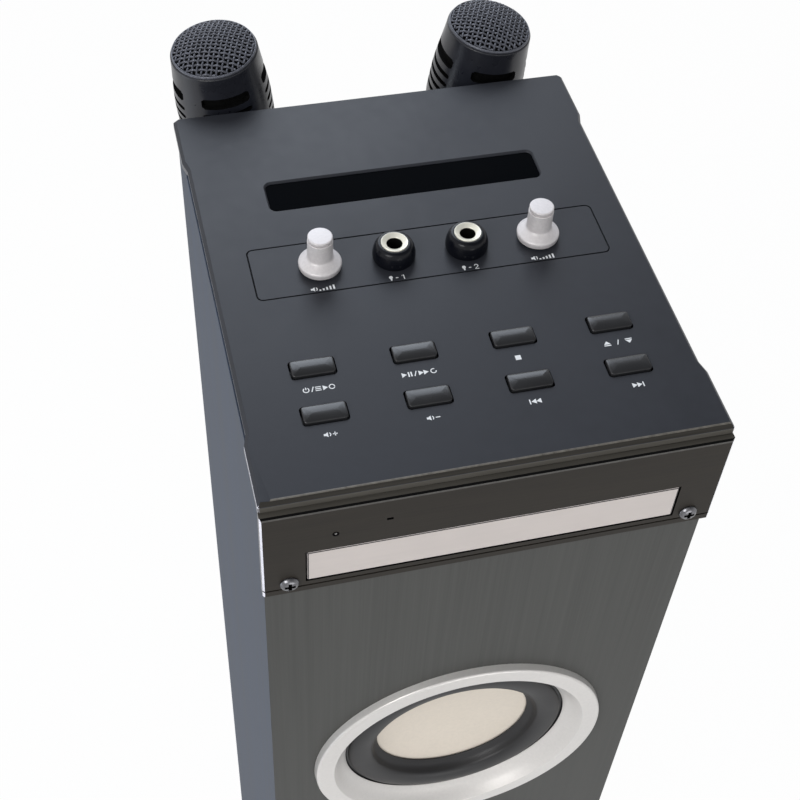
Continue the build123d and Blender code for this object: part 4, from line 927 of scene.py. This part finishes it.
def make_lamp():
    """The domed lens in the bezel's small round opening, and a flat black ring round it that widens the
    opening's dark: painted shade.
    """
    profile = [(0, -115.15), (0.42, -115.05), (0.70, -114.7), (0.80, -114.2), (0.80, -113.0), (0, -113.0)]
    centre = (LAMP_X, 0, LAMP_Z)
    stands_for(lathe("standby_lens", profile, centre, LAMP, "Y", 24, 60), "cabinet", slot="socket_body")
    ring = [(0.86, -115.05), (0.95, -115.2), (1.30, -115.2), (1.42, -115.0), (1.42, -114.9), (0.86, -114.9)]
    stands_for(lathe("standby_shade_ring", ring, centre, SHADOW, "Y", 32, 60), "cabinet", slot="socket_body")


make_lamp()

# Every CAD node that still shows takes the material of its slot.
for node_name, node in nodes.items():
    if not node.hide_render:
        material = MATERIALS[RECORD_SLOTS[node_name]]
        if not node.material_slots:
            node.data.materials.append(material)
        for material_slot in node.material_slots:
            material_slot.material = material


# ---------------------------------------------------------------- floor and light

def white_for_views(tree, normal, share):
    """The given shader, mostly replaced by white for camera, glossy and transmission rays."""
    path = tree.nodes.new("ShaderNodeLightPath")
    white = tree.nodes.new("ShaderNodeEmission" if share < 1 else "ShaderNodeBackground")
    white.inputs["Color"].default_value = (1, 1, 1, 1)
    seen = None
    for ray in ("Is Camera Ray", "Is Glossy Ray", "Is Transmission Ray"):
        if seen is None:
            seen = path.outputs[ray]
            continue
        either = tree.nodes.new("ShaderNodeMath")
        either.operation = "MAXIMUM"
        tree.links.new(seen, either.inputs[0])
        tree.links.new(path.outputs[ray], either.inputs[1])
        seen = either.outputs[0]
    amount = tree.nodes.new("ShaderNodeMath")
    amount.operation = "MULTIPLY"
    amount.inputs[1].default_value = share
    tree.links.new(seen, amount.inputs[0])
    mix = tree.nodes.new("ShaderNodeMixShader")
    tree.links.new(amount.outputs[0], mix.inputs["Fac"])
    tree.links.new(normal, mix.inputs[1])
    tree.links.new(white.outputs[0], mix.inputs[2])
    return mix.outputs[0]


def make_floor():
    """A white paper floor that still takes soft shadows."""
    bm = bmesh.new()
    bmesh.ops.create_grid(bm, x_segments=1, y_segments=1, size=6000.0)
    material = bpy.data.materials.new("floor_paper")
    material.use_nodes = True
    tree = material.node_tree
    tree.nodes.remove(tree.nodes["Principled BSDF"])
    paper = tree.nodes.new("ShaderNodeBsdfDiffuse")
    paper.inputs["Color"].default_value = (0.86, 0.86, 0.87, 1)
    out = tree.nodes["Material Output"]
    tree.links.new(white_for_views(tree, paper.outputs[0], 0.97), out.inputs["Surface"])
    to_object("floor", bm, material)


def make_world():
    """Soft even light, and for mirrored rays a white studio that dims overhead and to the right."""
    world = bpy.data.worlds.new("studio")
    bpy.context.scene.world = world
    world.use_nodes = True
    tree = world.node_tree
    soft = tree.nodes["Background"]
    soft.inputs["Color"].default_value = (0.94, 0.97, 1.0, 1)
    soft.inputs["Strength"].default_value = 0.46
    tree.links.new(white_for_views(tree, soft.outputs[0], 1.0), tree.nodes["World Output"].inputs["Surface"])
    white = next(node for node in tree.nodes if node.type == "BACKGROUND" and node != soft)
    slope = tree.nodes.new("ShaderNodeVectorMath")
    slope.operation = "DOT_PRODUCT"
    slope.inputs[1].default_value = (0.6, 0.0, 1.0)
    tree.links.new(tree.nodes.new("ShaderNodeTexCoord").outputs["Generated"], slope.inputs[0])
    dim = tree.nodes.new("ShaderNodeMapRange")
    dim.inputs["From Min"].default_value = 0.6
    dim.inputs["From Max"].default_value = 1.05
    dim.inputs["To Min"].default_value = 1.0
    dim.inputs["To Max"].default_value = 0.25
    tree.links.new(slope.outputs["Value"], dim.inputs["Value"])
    tree.links.new(dim.outputs["Result"], white.inputs["Strength"])


def area_lamp(name, place, target, size, power, color=(1, 1, 1)):
    """A round lamp at a place, in metres, that points at the target."""
    data = bpy.data.lights.new(name, "AREA")
    data.shape = "DISK"
    data.size = size
    data.energy = power
    data.color = color
    lamp = bpy.data.objects.new(name, data)
    bpy.context.scene.collection.objects.link(lamp)
    lamp.location = place
    lamp.rotation_euler = (Vector(target) - Vector(place)).to_track_quat("-Z", "Y").to_euler()


make_floor()
make_world()
area_lamp("key", (-1.1, -1.1, 1.9), (0, 0, 0.9), 0.9, 13.0)
area_lamp("fill", (0.4, -1.7, 0.6), (0, 0, 0.75), 1.0, 6.0)
area_lamp("side", (-1.6, 0.1, 0.4), (0, 0, 0.6), 1.0, 5.5, (0.78, 0.88, 1.0))
area_lamp("rear", (0.05, 1.4, 1.95), (0, 0, 0.98), 1.2, 15.0, (0.80, 0.88, 1.0))
bpy.context.scene.view_settings.view_transform = "Standard"
